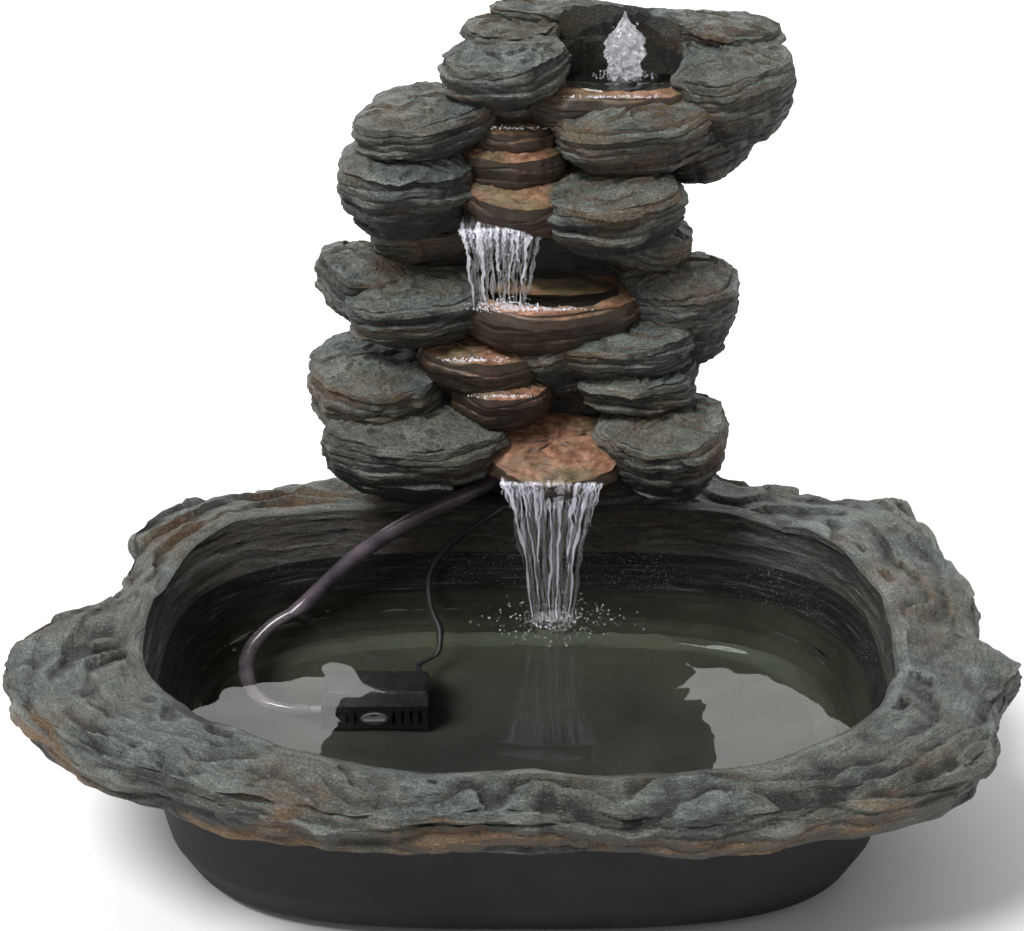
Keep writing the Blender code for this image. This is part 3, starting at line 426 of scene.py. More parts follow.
slate = new_tree("layered_slate", SURFACE, [("Rust", "NodeSocketFloat"), ("Depth", "NodeSocketFloat")])
given = put(slate, "NodeGroupInput")
here = put(slate, "ShaderNodeTexCoord").outputs["Object"]
relief_here = put(slate, "ShaderNodeAttribute", attribute_name="relief").outputs["Fac"]
cloud = stretched(slate, here, (9, 9, 14), 3.0)
patches = stretched(slate, here, (26, 40, 70), 9.0, 0.72)
layup = put(slate, "ShaderNodeAttribute", attribute_name="layup").outputs["Vector"]
swirl = put(slate, "ShaderNodeTexNoise", [(0, layup), (2, 14.0), (3, 3.0)]).outputs[1]
warp = mixed(slate, 0.035, layup, swirl)
streaks = stretched(slate, warp, (20, 20, 240), 7.0, 0.70)
fine = stretched(slate, here, (420, 420, 900), 3.0, 0.7)
facing = put(slate, "ShaderNodeNewGeometry").outputs["Normal"]
upward = range_of(slate, height_of(slate, facing), 0.35, 0.90)
downward = range_of(slate, height_of(slate, facing), -0.05, -0.55)
# Sides and tops get their own ramps, picked by the surface normal: the tops' bluer tone is partly their own
# colour and partly painted top light and sheen.
side_colour = ramp(slate, streaks, [(0.34, (0.008, 0.009, 0.008)), (0.50, (0.055, 0.060, 0.052)),
                                    (0.66, (0.200, 0.208, 0.182))])
top_field = blended(slate, (patches, 0.55), (streaks, 0.45))
top_colour = ramp(slate, top_field, [(0.36, (0.034, 0.044, 0.041)), (0.50, (0.115, 0.138, 0.127)),
                                     (0.62, (0.255, 0.280, 0.258))])
tone = mixed(slate, upward, side_colour, top_colour)
tone = mixed(slate, range_of(slate, cloud, 0.42, 0.62, 0.0, 0.45), tone, (0.120, 0.105, 0.072, 1))
crest = range_of(slate, relief_here, 0.30, 1.1, 0.0, 0.50)
tone = mixed(slate, crest, tone, (0.330, 0.345, 0.310, 1))
# Painted shade: where the relief sinks into a cleft the tone is darkened to near-black.
cleft = range_of(slate, relief_here, -0.20, -0.95, 0.0, 0.92)
tone = mixed(slate, cleft, tone, (0.012, 0.012, 0.011, 1))
rust_field = stretched(slate, here, (7, 7, 26), 4.0, 0.6)
rust_here = range_of(slate, rust_field, 0.50, 0.60)
rust_here = maths(slate, "MULTIPLY", rust_here, given.outputs[0])
rust_here = maths(slate, "MULTIPLY", rust_here, range_of(slate, upward, 0.0, 1.0, 1.0, 0.25))
tone = mixed(slate, rust_here, tone, (0.185, 0.105, 0.045, 1))
tone = mixed(slate, range_of(slate, fine, 0.34, 0.56, 0.72, 0.0), tone, (0.010, 0.011, 0.010, 1))
tone = mixed(slate, range_of(slate, fine, 0.58, 0.72, 0.0, 0.55), tone, (0.34, 0.35, 0.32, 1))
# Painted shade: faces turned down are darkened towards near-black.
tone = mixed(slate, maths(slate, "MULTIPLY", downward, 0.75), tone, (0.012, 0.012, 0.011, 1))
# Painted shade: the group's second input darkens the whole surface towards near-black, for pieces that lie in
# shade.
tone = mixed(slate, given.outputs[1], tone, (0.010, 0.010, 0.010, 1))
raised = blended(slate, (streaks, 1.6), (fine, 0.40), (patches, 1.2))
bump = put(slate, "ShaderNodeBump", [(0, 0.90), (1, 0.0026), (3, raised)]).outputs[0]
give_out(slate, tone, range_of(slate, patches, 0.3, 0.7, 0.48, 0.72), bump)
rim_finish = new_material("rim_slate", (0.12, 0.14, 0.13), 0.6)
use_group(rim_finish, slate, [("Rust", 0.9), ("Depth", 0.0)])
# The rim's inner wall and hidden underside get painted shade (shade input 0.42) and less rust.
rim_wall_finish = new_material("rim_inner_wall", (0.03, 0.03, 0.03), 0.6)
use_group(rim_wall_finish, slate, [("Rust", 0.30), ("Depth", 0.42)])
rim.data.materials.append(rim_finish)
rim.data.materials.append(rim_wall_finish)
per_loop = len(rim_loops[0])
wall_steps = sum(rim_steps[:2]) + 1
rim.data.polygons.foreach_set("material_index", [
    1 if index % per_loop < wall_steps or index % per_loop >= sum(rim_steps[:7]) else 0
    for index in range(len(rim.data.polygons))
])
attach(rim, "fountain")
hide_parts("basin_rim")


# ---- Tower column ----
# The hollow core of the stone stack, cast in one with the stones. Its back is flat, with an access
# hatch, and the gap at its foot lets the hose and the lead in.
TOWER_HEIGHT = 0.485
TOWER_BACK = 0.350
TOWER_WALL = 0.010
DECK = BASIN_HEIGHT + 0.0003
COLUMN = [
    (0.00, -0.135, 0.150, 0.250), (0.12, -0.120, 0.140, 0.250), (0.30, -0.110, 0.130, 0.262),
    (0.44, -0.105, 0.130, 0.288), (0.62, -0.090, 0.125, 0.274), (0.74, -0.065, 0.140, 0.272),
    (0.83, -0.030, 0.165, 0.265),
]
POOL_SIDES = 90
# x, y, half length, half depth, share of the tower's height at the floor, depth of the cut
TOP_POOL = (0.092, 0.288, 0.060, 0.040, 0.840, 0.090)
MIDDLE_POOL = (0.026, 0.248, 0.066, 0.038, 0.440, 0.034)
MOUTH = (-0.066, 0.024, 0.050)
POOL_FLOOR = 0.018
# x and y of the nozzle, x and z of the grommet, x, z, width and height of the hatch
NOZZLE = (0.097, 0.297)
GROMMET = (0.060, 0.238)
HATCH = (0.010, 0.385, 0.110, 0.150)
NOZZLE_HOLE = 0.0083
GROMMET_HOLE = 0.0061
SCREW_HOLE = 0.0023
HATCH_GAP = 0.0003
HATCH_LEDGE = 0.010
HATCH_SEAT = 0.3437
INSIDE_WALL = 0.330
PAST_BACK = 0.400


def up_tower(share):
    return BASIN_HEIGHT + share * TOWER_HEIGHT


def column_loop(share, inset, sides):
    """The column's chamfered rectangle at a share of its height, walked evenly, with its side normals."""
    for low, high in zip(COLUMN, COLUMN[1:]):
        if low[0] <= share <= high[0]:
            place = (share - low[0]) / (high[0] - low[0])
            left, right, front = [a + (b - a) * place for a, b in zip(low[1:], high[1:])]
    x0, x1, y0, y1, cut = left + inset, right - inset, front + inset, TOWER_BACK - inset, 0.018
    corners = [(x0, y0 + cut), (x0 + cut, y0), (x1 - cut, y0), (x1, y0 + cut),
               (x1, y1 - cut), (x1 - cut, y1), (x0 + cut, y1), (x0, y1 - cut)]
    runs = [(Vector(a), Vector(b)) for a, b in zip(corners, corners[1:] + corners[:1])]
    total = sum((b - a).length for a, b in runs)
    walked, loop = 0.0, []
    for a, b in runs:
        length = (b - a).length
        while len(loop) < sides and total * len(loop) / sides < walked + length:
            loop.append((a.lerp(b, (total * len(loop) / sides - walked) / length), b - a))
        walked += length
    return loop


def block(low, high):
    loops = [[(low[0], low[1], z), (high[0], low[1], z), (high[0], high[1], z), (low[0], high[1], z)]
             for z in (low[2], high[2])]
    return closed_mesh("cutter", loops)


def rod(radius, start, end, sides=32):
    start, along = Vector(start), Vector(end) - Vector(start)
    turn = along.to_track_quat("Z", "Y")
    circle = [turn @ Vector(on_oval((0, 0), (radius, radius), angle, 0)) for angle in around(sides)]
    loops = [[start + along * share + point for point in circle] for share in (0.0, 1.0)]
    return closed_mesh("cutter", loops)


def pool_cutter(x, y, half_length, half_depth, share, depth):
    loops = []
    for height in (up_tower(share), up_tower(share) + depth):
        loop = []
        for angle in around(POOL_SIDES):
            wave = 1 + 0.05 * grain(cos(angle) * 1.6, sin(angle) * 1.6, share * 9)
            loop.append(on_oval((x, y), (half_length * wave, half_depth * wave), angle, height))
        loops.append(loop)
    return closed_mesh("cutter", loops)


def reach_of(item):
    corners = [vertex.co for vertex in item.data.vertices]
    return [(min(c[i] for c in corners), max(c[i] for c in corners)) for i in range(3)]


ceiling = up_tower(TOP_POOL[4]) - POOL_FLOOR
hollow_loops = []
for share in [row[0] for row in COLUMN]:
    height = min(max(up_tower(share), DECK), ceiling)
    hollow_loops.append([(place.x, place.y, DECK - 0.05 if share == 0 else height)
                         for place, run in column_loop(share, TOWER_WALL, 80)])
hatch_x, hatch_z, hatch_width, hatch_height = HATCH


def hatch_block(margin, low_y):
    half_width, half_height = hatch_width / 2 + margin, hatch_height / 2 + margin
    return block((hatch_x - half_width, low_y, hatch_z - half_height),
                 (hatch_x + half_width, PAST_BACK, hatch_z + half_height))


past_the_back = block((-0.5, TOWER_BACK, 0.0), (0.5, TOWER_BACK + 0.2, 1.0))
cutters = [
    closed_mesh("cutter", hollow_loops),
    block((-0.5, 0.0, DECK - 0.2), (0.5, 0.5, DECK)),
    past_the_back,
    block((MOUTH[0], 0.10, DECK - 0.05), (MOUTH[1], 0.28, DECK + MOUTH[2])),
    pool_cutter(*TOP_POOL),
    pool_cutter(*MIDDLE_POOL),
    rod(NOZZLE_HOLE, (*NOZZLE, ceiling - 0.05), (*NOZZLE, ceiling + 0.1)),
    rod(GROMMET_HOLE, (GROMMET[0], INSIDE_WALL, GROMMET[1]), (GROMMET[0], PAST_BACK, GROMMET[1])),
    hatch_block(HATCH_GAP, HATCH_SEAT),
    hatch_block(-HATCH_LEDGE, INSIDE_WALL),
]
for side in (-1, 1):
    for end_of in (-1, 1):
        x = hatch_x + side * (hatch_width - HATCH_LEDGE) / 2
        z = hatch_z + end_of * (hatch_height - HATCH_LEDGE) / 2
        cutters.append(rod(SCREW_HOLE, (x, INSIDE_WALL, z), (x, TOWER_BACK + 0.002, z), 16))
cutter_reaches = [reach_of(cutter) for cutter in cutters]


def cut_to_fit(item, back_step=0.0):
    """Cuts the hollow, the pools and every hole out of a piece, where they meet it. back_step keeps the
    flat backs of pieces that overlap from lying in one plane."""
    own = reach_of(item)
    past_the_back.location.y = -back_step
    for cutter, reach in zip(cutters, cutter_reaches):
        if all(a[0] < b[1] and b[0] < a[1] for a, b in zip(own, reach)):
            modifier = item.modifiers.new("cut", "BOOLEAN")
            modifier.operation = "DIFFERENCE"
            modifier.solver = "MANIFOLD"
            modifier.object = cutter
    data = bpy.data.meshes.new_from_object(item.evaluated_get(bpy.context.evaluated_depsgraph_get()))
    item.modifiers.clear()
    item.data = data
    return item


def joined(name, items):
    """One object from several, which are used up."""
    shape = bmesh.new()
    for item in items:
        shape.from_mesh(item.data)
        bpy.data.objects.remove(item)
    data = bpy.data.meshes.new(name)
    shape.to_mesh(data)
    shape.free()
    data.shade_smooth()
    return linked(name, data)


def gather(name, items, material, slot_name, *stands_for):
    """Joins shaped stones into one piece of the casting."""
    piece = joined(name, items)
    piece.data.materials.append(material)
    piece.data.polygons.foreach_set("material_index", [0] * len(piece.data.polygons))
    piece.data.set_sharp_from_angle(angle=radians(36))
    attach(piece, "fountain")
    if stands_for:
        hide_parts(*stands_for)
    return piece


column_loops, column_relief = [], []
for step in range(112):
    share = 0.83 * step / 111
    height = max(up_tower(share), DECK)
    loop, reliefs = [], []
    for place, run in column_loop(share, 0.0, 260):
        outward = Vector((run.y, -run.x)).normalized()
        relief = laminated(place.x, place.y, height, 0.011, 21.0)
        soft = smooth_step(TOWER_BACK - place.y, 0.004, 0.030)
        push = (0.004 + 0.0055 * relief + 0.004 * grain(place.x * 25, place.y * 25, height * 25)) * soft
        spot = place + outward * max(push, -0.004)
        loop.append((spot.x, spot.y, height))
        # The column's relief is lowered by 0.5, so more of it falls in the painted shade of the clefts.
        reliefs.append(relief - 0.5)
    column_loops.append(loop)
    column_relief.append(reliefs)
column = closed_mesh("column", column_loops, False, column_relief, 50)
# The column lies back in the gaps between the stones, so it gets heavy painted shade (shade input 0.72).
column_finish = new_material("column_slate", (0.05, 0.05, 0.05), 0.7)
use_group(column_finish, slate, [("Rust", 0.45), ("Depth", 0.72)])
gather("tower_column", [cut_to_fit(column)], column_finish, "slate_casting", "tower_shell")


# ---- Tower stones ----
# Flat water-worn slabs stacked left and right of the stream, cast in one with the column: broad smooth
# tops, broken laminations at their edges and a narrower underside.
# x, y, share of the tower's height at the top, length, depth, thickness, tilt, dip
LEFT_STONES = [
    (-0.010, 0.305, 0.972, 0.092, 0.070, 0.038, -4, 6), (-0.016, 0.262, 0.948, 0.118, 0.090, 0.056, -6, 8),
    (-0.096, 0.262, 0.838, 0.124, 0.106, 0.050, -8, 8), (-0.106, 0.248, 0.742, 0.132, 0.106, 0.076, 6, 10),
    (-0.100, 0.298, 0.566, 0.104, 0.074, 0.040, -4, 6), (-0.144, 0.278, 0.504, 0.104, 0.090, 0.060, 6, 8),
    (-0.104, 0.245, 0.478, 0.136, 0.094, 0.058, -6, 10), (-0.138, 0.252, 0.310, 0.144, 0.126, 0.082, 4, 8),
    (-0.104, 0.212, 0.216, 0.182, 0.106, 0.074, 4, 8),
]
RIGHT_STONES = [
    (0.196, 0.318, 0.966, 0.094, 0.068, 0.050, 4, 6), (0.190, 0.280, 0.922, 0.116, 0.112, 0.082, -8, 8),
    (0.158, 0.292, 0.836, 0.116, 0.100, 0.080, -12, 6), (0.104, 0.245, 0.842, 0.138, 0.082, 0.064, -4, 10),
    (0.082, 0.232, 0.696, 0.140, 0.094, 0.064, -6, 10), (0.124, 0.285, 0.574, 0.088, 0.074, 0.060, 4, 6),
    (0.150, 0.262, 0.492, 0.110, 0.092, 0.092, -4, 8), (0.098, 0.232, 0.396, 0.138, 0.082, 0.052, -4, 10),
    (0.114, 0.232, 0.316, 0.112, 0.078, 0.050, -4, 8), (0.138, 0.212, 0.218, 0.130, 0.106, 0.078, -4, 10),
]
BACK_STONES = [
    (0.044, 0.326, 0.996, 0.150, 0.050, 0.030, 2, 2), (0.136, 0.326, 0.976, 0.090, 0.054, 0.040, 2, 2),
    (0.088, 0.336, 0.950, 0.220, 0.040, 0.090, 0, 0), (-0.040, 0.285, 0.085, 0.230, 0.120, 0.060, 0, 0),
    (0.085, 0.285, 0.085, 0.170, 0.120, 0.060, 0, 0), (0.030, 0.236, 0.380, 0.080, 0.064, 0.060, -16, 16),
    (0.072, 0.330, 0.905, 0.250, 0.110, 0.100, 0, 0), (0.010, 0.322, 0.930, 0.110, 0.080, 0.090, 0, 0),
    (0.150, 0.322, 0.930, 0.110, 0.080, 0.090, 0, 0),
]
STONE_SIDES = 120
STONE_PROFILE = [
    (0.0, -1.0), (0.60, -1.0), (0.92, -0.66), (1.0, -0.26), (0.92, -0.05), (0.62, 0.0), (0.0, 0.0),
]
STONE_STEPS = [3, 14, 24, 16, 10, 12]


def shaped_stone(x, y, share, length, depth, thickness, tilt, dip, ledge=1.0, lamina=0.0085):
    """A stone with its top's middle at x, y. Tilt lowers its right end and dip its front edge, in degrees."""
    top = up_tower(share)
    turn = Euler((radians(dip), radians(tilt), 0.0)).to_matrix()
    seed = 40 * x + 23 * share
    loops, relief_rows, layup_rows, rows = [], [], [], []
    for (start, end), steps in zip(zip(STONE_PROFILE, STONE_PROFILE[1:]), STONE_STEPS):
        rows += [[a + (b - a) * (i + (0.35 if start[0] == 0 else 0)) / steps for a, b in zip(start, end)]
                 for i in range(steps)]
    for reach_share, drop in rows:
        loop, reliefs, layups = [], [], []
        on_top = smooth_step(drop, -0.10, 0.0)
        # below pulls the relief down on the underside, which the shaders turn into painted shade there.
        below = 1.1 * smooth_step(-drop, 0.40, 0.95)
        for angle in around(STONE_SIDES):
            wobble = 1 + 0.05 * sin(3 * angle + 40 * x) + 0.04 * cos(2 * angle + 30 * top)
            wobble += 0.09 * grain(cos(angle) * 1.5, sin(angle) * 1.5, seed)
            wobble += 0.05 * grain(cos(angle) * 5, sin(angle) * 5, seed)
            reach = reach_share * wobble * 0.515
            px, py, pz = length * reach * cos(angle), depth * reach * sin(angle), thickness * drop
            relief = laminated(x + px, y + py, pz, lamina, seed)
            side = (1 - on_top) * smooth_step(reach_share, 0.25, 0.6)
            chip = round(2.4 * grain(angle * 2.2, pz * 45, seed + 5)) / 2.4
            rough = 0.0008 * grain(angle * 14, pz * 200, seed)
            push = (0.0036 * relief + 0.0030 * chip + rough) * side * ledge
            far = hypot(px, py) or 1.0
            px += px / far * push
            py += py / far * push
            bands = 0.75 * grain(px * 17 + seed, py * 34, seed) + 0.30 * grain(px * 45, py * 90, seed + 3)
            shelf = terraced(bands, 3.6) - bands
            flake = round(3.0 * grain(px * 34, py * 48, seed + 7)) / 3.0
            rough = 0.0018 * flake + 0.0009 * grain(px * 110, py * 150, seed)
            lift = (0.018 * shelf + 0.0050 * grain(px * 12, py * 12, seed) + rough) * on_top * ledge
            pz += lift
            pz += thickness * 0.08 * on_top * (1 - reach_share ** 2)
            reliefs.append(relief * (1 - on_top) + on_top * (3.0 * shelf + 0.3 + 0.5 * flake) - below)
            layups.append((x + px, y + py, top + pz - 0.40 * py + 0.12 * px))
            spot = Vector((x, y, top)) + turn @ Vector((px, py, pz))
            loop.append(spot)
        loops.append(loop)
        relief_rows.append(reliefs)
        layup_rows.append(layups)
    return closed_mesh("stone", loops, False, relief_rows, 40, layup_rows)


stone_finish = new_material("stone_slate", (0.12, 0.14, 0.13), 0.6)
use_group(stone_finish, slate, [("Rust", 0.55), ("Depth", 0.0)])
for side, stones in (("left", LEFT_STONES), ("right", RIGHT_STONES), ("back", BACK_STONES)):
    shaped = []
    for number, stone in enumerate(stones):
        shaped.append(cut_to_fit(shaped_stone(*stone), 0.0005 * (1 + number % 5)))
    gather(f"tower_{side}_stones", shaped, stone_finish, "slate_casting")


# ---- Watercourse ----
# The stream's pool floors, steps and two spill slabs, painted rust and olive and always wet.
POOL_SLABS = [
    (0.090, 0.290, 0.868, 0.176, 0.124, 0.050, 0, 0), (-0.004, 0.280, 0.800, 0.100, 0.080, 0.050, 0, 6),
    (-0.004, 0.264, 0.752, 0.102, 0.076, 0.044, 0, 6), (0.002, 0.252, 0.692, 0.132, 0.100, 0.050, 0, 14),
    (0.026, 0.256, 0.462, 0.184, 0.118, 0.060, 0, 4), (-0.034, 0.242, 0.350, 0.126, 0.080, 0.050, 0, 4),
    (-0.016, 0.228, 0.282, 0.102, 0.066, 0.044, 0, 6), (0.032, 0.218, 0.160, 0.152, 0.118, 0.044, 0, 20),
]
stream = new_tree("wet_rust_stone", SURFACE)
here = put(stream, "ShaderNodeTexCoord").outputs["Object"]
relief_here = put(stream, "ShaderNodeAttribute", attribute_name="relief").outputs["Fac"]
cloud = stretched(stream, here, (22, 22, 30), 4.0)
mottle = stretched(stream, here, (75, 75, 130), 8.0, 0.75)
fine = stretched(stream, here, (300, 300, 700), 3.0, 0.7)
facing = put(stream, "ShaderNodeNewGeometry").outputs["Normal"]
upward = range_of(stream, height_of(stream, facing), 0.45, 0.85)
rusty = ramp(stream, mottle, [(0.32, (0.080, 0.040, 0.022)), (0.50, (0.270, 0.130, 0.078)),
                              (0.66, (0.480, 0.270, 0.185))])
mossy = ramp(stream, mottle, [(0.32, (0.050, 0.040, 0.020)), (0.66, (0.240, 0.175, 0.095))])
tone = mixed(stream, range_of(stream, cloud, 0.40, 0.60), rusty, mossy)
# Painted shade: clefts and undersides, where the relief is low, are darkened.
tone = mixed(stream, range_of(stream, relief_here, -0.1, -1.2, 0.0, 0.8), tone, (0.02, 0.014, 0.008, 1))
# Painted shade: faces that don't face up, such as the slab fronts, are darkened towards near-black.
tone = mixed(stream, range_of(stream, upward, 0.0, 1.0, 0.90, 0.0), tone, (0.020, 0.015, 0.010, 1))
raised = blended(stream, (mottle, 1.0), (fine, 0.35))
bump = put(stream, "ShaderNodeBump", [(0, 0.55), (1, 0.0014), (3, raised)]).outputs[0]
give_out(stream, tone, range_of(stream, mottle, 0.3, 0.7, 0.30, 0.62), bump)
stream_finish = new_material("wet_stream_stone", (0.2, 0.1, 0.05), 0.4, Specular_IOR_Level=0.35)
use_group(stream_finish, stream)
shaped = [cut_to_fit(shaped_stone(*slab, 0.55, 0.0130), 0.003) for slab in POOL_SLABS]
gather("stream_slabs", shaped, stream_finish, "slate_casting")
for cutter in cutters:
    bpy.data.objects.remove(cutter)


# ---- Hatch, grommet, nozzle ----
# A flat hatch of the bowl's dark resin closes the hollow on four stainless screws. The lead leaves
# through a rubber grommet, and a black moulded nozzle is clamped through the top pool by its nut.
moulded = new_tree("moulded_surface", SURFACE[1:], [("Low", "NodeSocketFloat"), ("High", "NodeSocketFloat")])
given = put(moulded, "NodeGroupInput")
here = put(moulded, "ShaderNodeTexCoord").outputs["Object"]
cloud = stretched(moulded, here, (60, 60, 60))
fine = stretched(moulded, here, (1400, 1400, 1400), 2.0)
bump = put(moulded, "ShaderNodeBump", [(0, 0.25), (1, 0.0002), (3, fine)]).outputs[0]
give_out(moulded, range_of(moulded, cloud, 0.3, 0.7, given.outputs[0], given.outputs[1]), bump)


def moulded_finish(name, colour, low, high, metallic=0.0, **constants):
    material = new_material(name, colour, (low + high) / 2, metallic, **constants)
    use_group(material, moulded, [("Low", low), ("High", high)])
    return material


def dress(material, *names):
    """Gives CAD nodes that keep their shape a better finish."""
    for name in names:
        node[name].data.materials.clear()
        node[name].data.materials.append(material)


hatch_finish = moulded_finish("hatch_resin", (0.030, 0.031, 0.030), 0.55, 0.80)
steel_finish = moulded_finish("screw_steel", (0.60, 0.60, 0.58), 0.22, 0.38, 1.0)
rubber_finish = moulded_finish("black_rubber", (0.016, 0.016, 0.017), 0.68, 0.90)
nozzle_finish = moulded_finish("black_moulding", (0.014, 0.014, 0.016), 0.28, 0.46)
dress(hatch_finish, "tower_back_cover")
dress(steel_finish, "cover_screw_1", "cover_screw_2", "cover_screw_3", "cover_screw_4")
dress(rubber_finish, "cord_grommet")
dress(nozzle_finish, "bubbler_nozzle", "nozzle_nut")


# ---- Pump ----
# A submersible pump of black moulded plastic on four suction cups: a slotted strainer that pulls off,
# a grey dial, and a magnet rotor on a ceramic shaft between rubber bushes.
pump_finish = moulded_finish("pump_black_moulding", (0.010, 0.010, 0.012), 0.20, 0.36)
grey_finish = moulded_finish("pump_grey_moulding", (0.100, 0.100, 0.108), 0.38, 0.55)
ceramic_finish = moulded_finish("shaft_ceramic_white", (0.82, 0.80, 0.75), 0.18, 0.30)
magnet_finish = moulded_finish("magnet_sleeve", (0.070, 0.070, 0.078), 0.30, 0.45)
dress(pump_finish, "pump_housing", "strainer_cover")
dress(grey_finish, "volute_cover", "impeller", "flow_regulator")
dress(ceramic_finish, "rotor_shaft")
dress(magnet_finish, "rotor_magnet")
dress(rubber_finish, "shaft_bush_front", "shaft_bush_rear", "housing_o_ring", "cord_gland")
dress(rubber_finish, "suction_cup_1", "suction_cup_2", "suction_cup_3", "suction_cup_4")


# ---- Feed hose ----
# Clear soft tubing, full of water, pushed on the pump's spigot and led through the gap under the
# tower up to the nozzle.
HOSE_DIAMETER = 0.016
SPIGOT_TIP = (-0.2003, 0.041, 0.0516)
NOZZLE_FOOT = (0.097, 0.297, 0.5671)
HOSE_ROUTE = [
    (-0.242, 0.052, 0.053), (-0.262, 0.090, 0.058), (-0.264, 0.138, 0.070), (-0.245, 0.172, 0.090),
    (-0.216, 0.192, 0.110), (-0.158, 0.206, 0.162), (-0.092, 0.212, 0.204), (-0.036, 0.228, 0.226),
    (0.008, 0.272, 0.243), (0.036, 0.302, 0.310), (0.058, 0.314, 0.400), (0.080, 0.306, 0.480),
]


def smooth_route(points, spacing):
    """Points on one smooth curve through the given points, evenly spaced between its straight ends."""
    points = [Vector(point) for point in points]
    samples, dense = 24, []
    for i in range(len(points) - 1):
        before, after = points[max(i - 1, 0)], points[min(i + 2, len(points) - 1)]
        start, end = points[i], points[i + 1]
        reach = (end - start).length / 3
        leave = (end - before).normalized() * reach
        arrive = (after - start).normalized() * reach
        dense += interpolate_bezier(start, start + leave, end - arrive, end, samples + 1)[:-1]
    dense = dense[samples:1 - samples]
    total = sum((b - a).length for a, b in zip(dense, dense[1:]))
    count = max(2, round(total / spacing))
    step = total / count
    route, walked = [dense[0]], 0.0
    for a, b in zip(dense, dense[1:]):
        length = (b - a).length
        while len(route) < count and walked + length >= step * len(route):
            route.append(a.lerp(b, (step * len(route) - walked) / length))
        walked += length
    return [points[0], *route, dense[-1], points[-1]]


def flexible_tube(name, route, diameter, material):
    curve = bpy.data.curves.new(name, "CURVE")
    curve.dimensions = "3D"
    curve.bevel_depth = diameter / 2
    curve.bevel_resolution = 6
    curve.use_fill_caps = True
    spline = curve.splines.new("POLY")
    spline.points.add(len(route) - 1)
    for knot, point in zip(spline.points, route):
        knot.co = (*point, 1.0)
    spline.use_smooth = True
    curve.materials.append(material)
    item = linked(name, curve)
    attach(item, "fountain")
    return item


straight = (SPIGOT_TIP[0] - 0.014, *SPIGOT_TIP[1:])
below = (*NOZZLE_FOOT[:2], NOZZLE_FOOT[2] - 0.030)
hose_points = smooth_route([SPIGOT_TIP, straight, *HOSE_ROUTE, below, NOZZLE_FOOT], 0.008)
hose_finish = new_material("clear_hose_vinyl", (0.20, 0.16, 0.19), 0.16, Transmission_Weight=0.30, IOR=1.50)
hose_looks = new_tree("hose_film", SURFACE[:2])
here = put(hose_looks, "ShaderNodeTexCoord").outputs["Object"]
cloud = stretched(hose_looks, here, (30, 30, 30), 3.0)
tint = ramp(hose_looks, cloud, [(0.30, (0.055, 0.043, 0.058)), (0.70, (0.185, 0.145, 0.175))])
give_out(hose_looks, tint, range_of(hose_looks, cloud, 0.3, 0.7, 0.10, 0.26))
use_group(hose_finish, hose_looks)
hose = flexible_tube("hose_tube", hose_points, HOSE_DIAMETER, hose_finish)
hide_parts("feed_hose")


# ---- Mains lead ----
# A black rubber-sheathed lead: up from the pump, through the tower, out at the back, down to the ground
# and into a tied coil, with a two-pin plug on its end.
CORD_DIAMETER = 0.006
GLAND_TIP = (-0.099, 0.1166, 0.0516)
CORD_ROUTE = [
    (-0.082, 0.146, 0.056), (-0.080, 0.174, 0.076), (-0.090, 0.206, 0.104), (-0.090, 0.221, 0.132),
    (-0.068, 0.220, 0.166), (-0.036, 0.210, 0.196), (-0.014, 0.214, 0.210), (0.008, 0.246, 0.213),
    (0.038, 0.290, 0.224), (0.060, 0.324, 0.238), (0.060, 0.332, 0.238), (0.060, 0.356, 0.238),
    (0.060, 0.362, 0.238), (0.060, 0.384, 0.226), (0.060, 0.396, 0.196), (0.060, 0.399, 0.130),
    (0.061, 0.398, 0.060), (0.062, 0.384, 0.016), (0.063, 0.356, 0.0034),
]
COIL_PLACE = (0.021, 0.318)
BESIDE_COIL = 0.04285
COIL_TURNED = 6.5 * pi
ON_GROUND = 0.0033
TAIL_END = (-0.0644, 0.282, 0.0085)


def coil_point(turned_by):
    """The wound lead: lower outer turn, lower inner, upper inner, then a short run of upper outer."""
    outer, inner, low, high, gap = 0.0362, 0.0300, 0.00455, 0.01075, 0.0067
    full = turned_by / (2 * pi)
    in_turn = smooth_step(full, 0.86, 1.0)
    up_turn = smooth_step(full, 1.86, 2.0)
    out_turn = smooth_step(full, 2.86, 3.0)
    reach = outer + (inner - outer) * in_turn + (outer - inner) * out_turn
    height = low + (high - low) * up_turn
    arrive = 1 - smooth_step(turned_by, 0.0, 0.2 * pi)
    reach += (BESIDE_COIL - outer) * arrive
    height += (ON_GROUND - low) * arrive
    leave = smooth_step(turned_by, COIL_TURNED - 0.26 * pi, COIL_TURNED)
    if leave > 0:
        swing = pi / 2 - leave * (pi / 2 + 0.19)
        reach = outer + gap * cos(swing)
        height = low + gap * sin(swing)
    angle = -turned_by
    return (COIL_PLACE[0] + reach * cos(angle), COIL_PLACE[1] + reach * sin(angle), height)


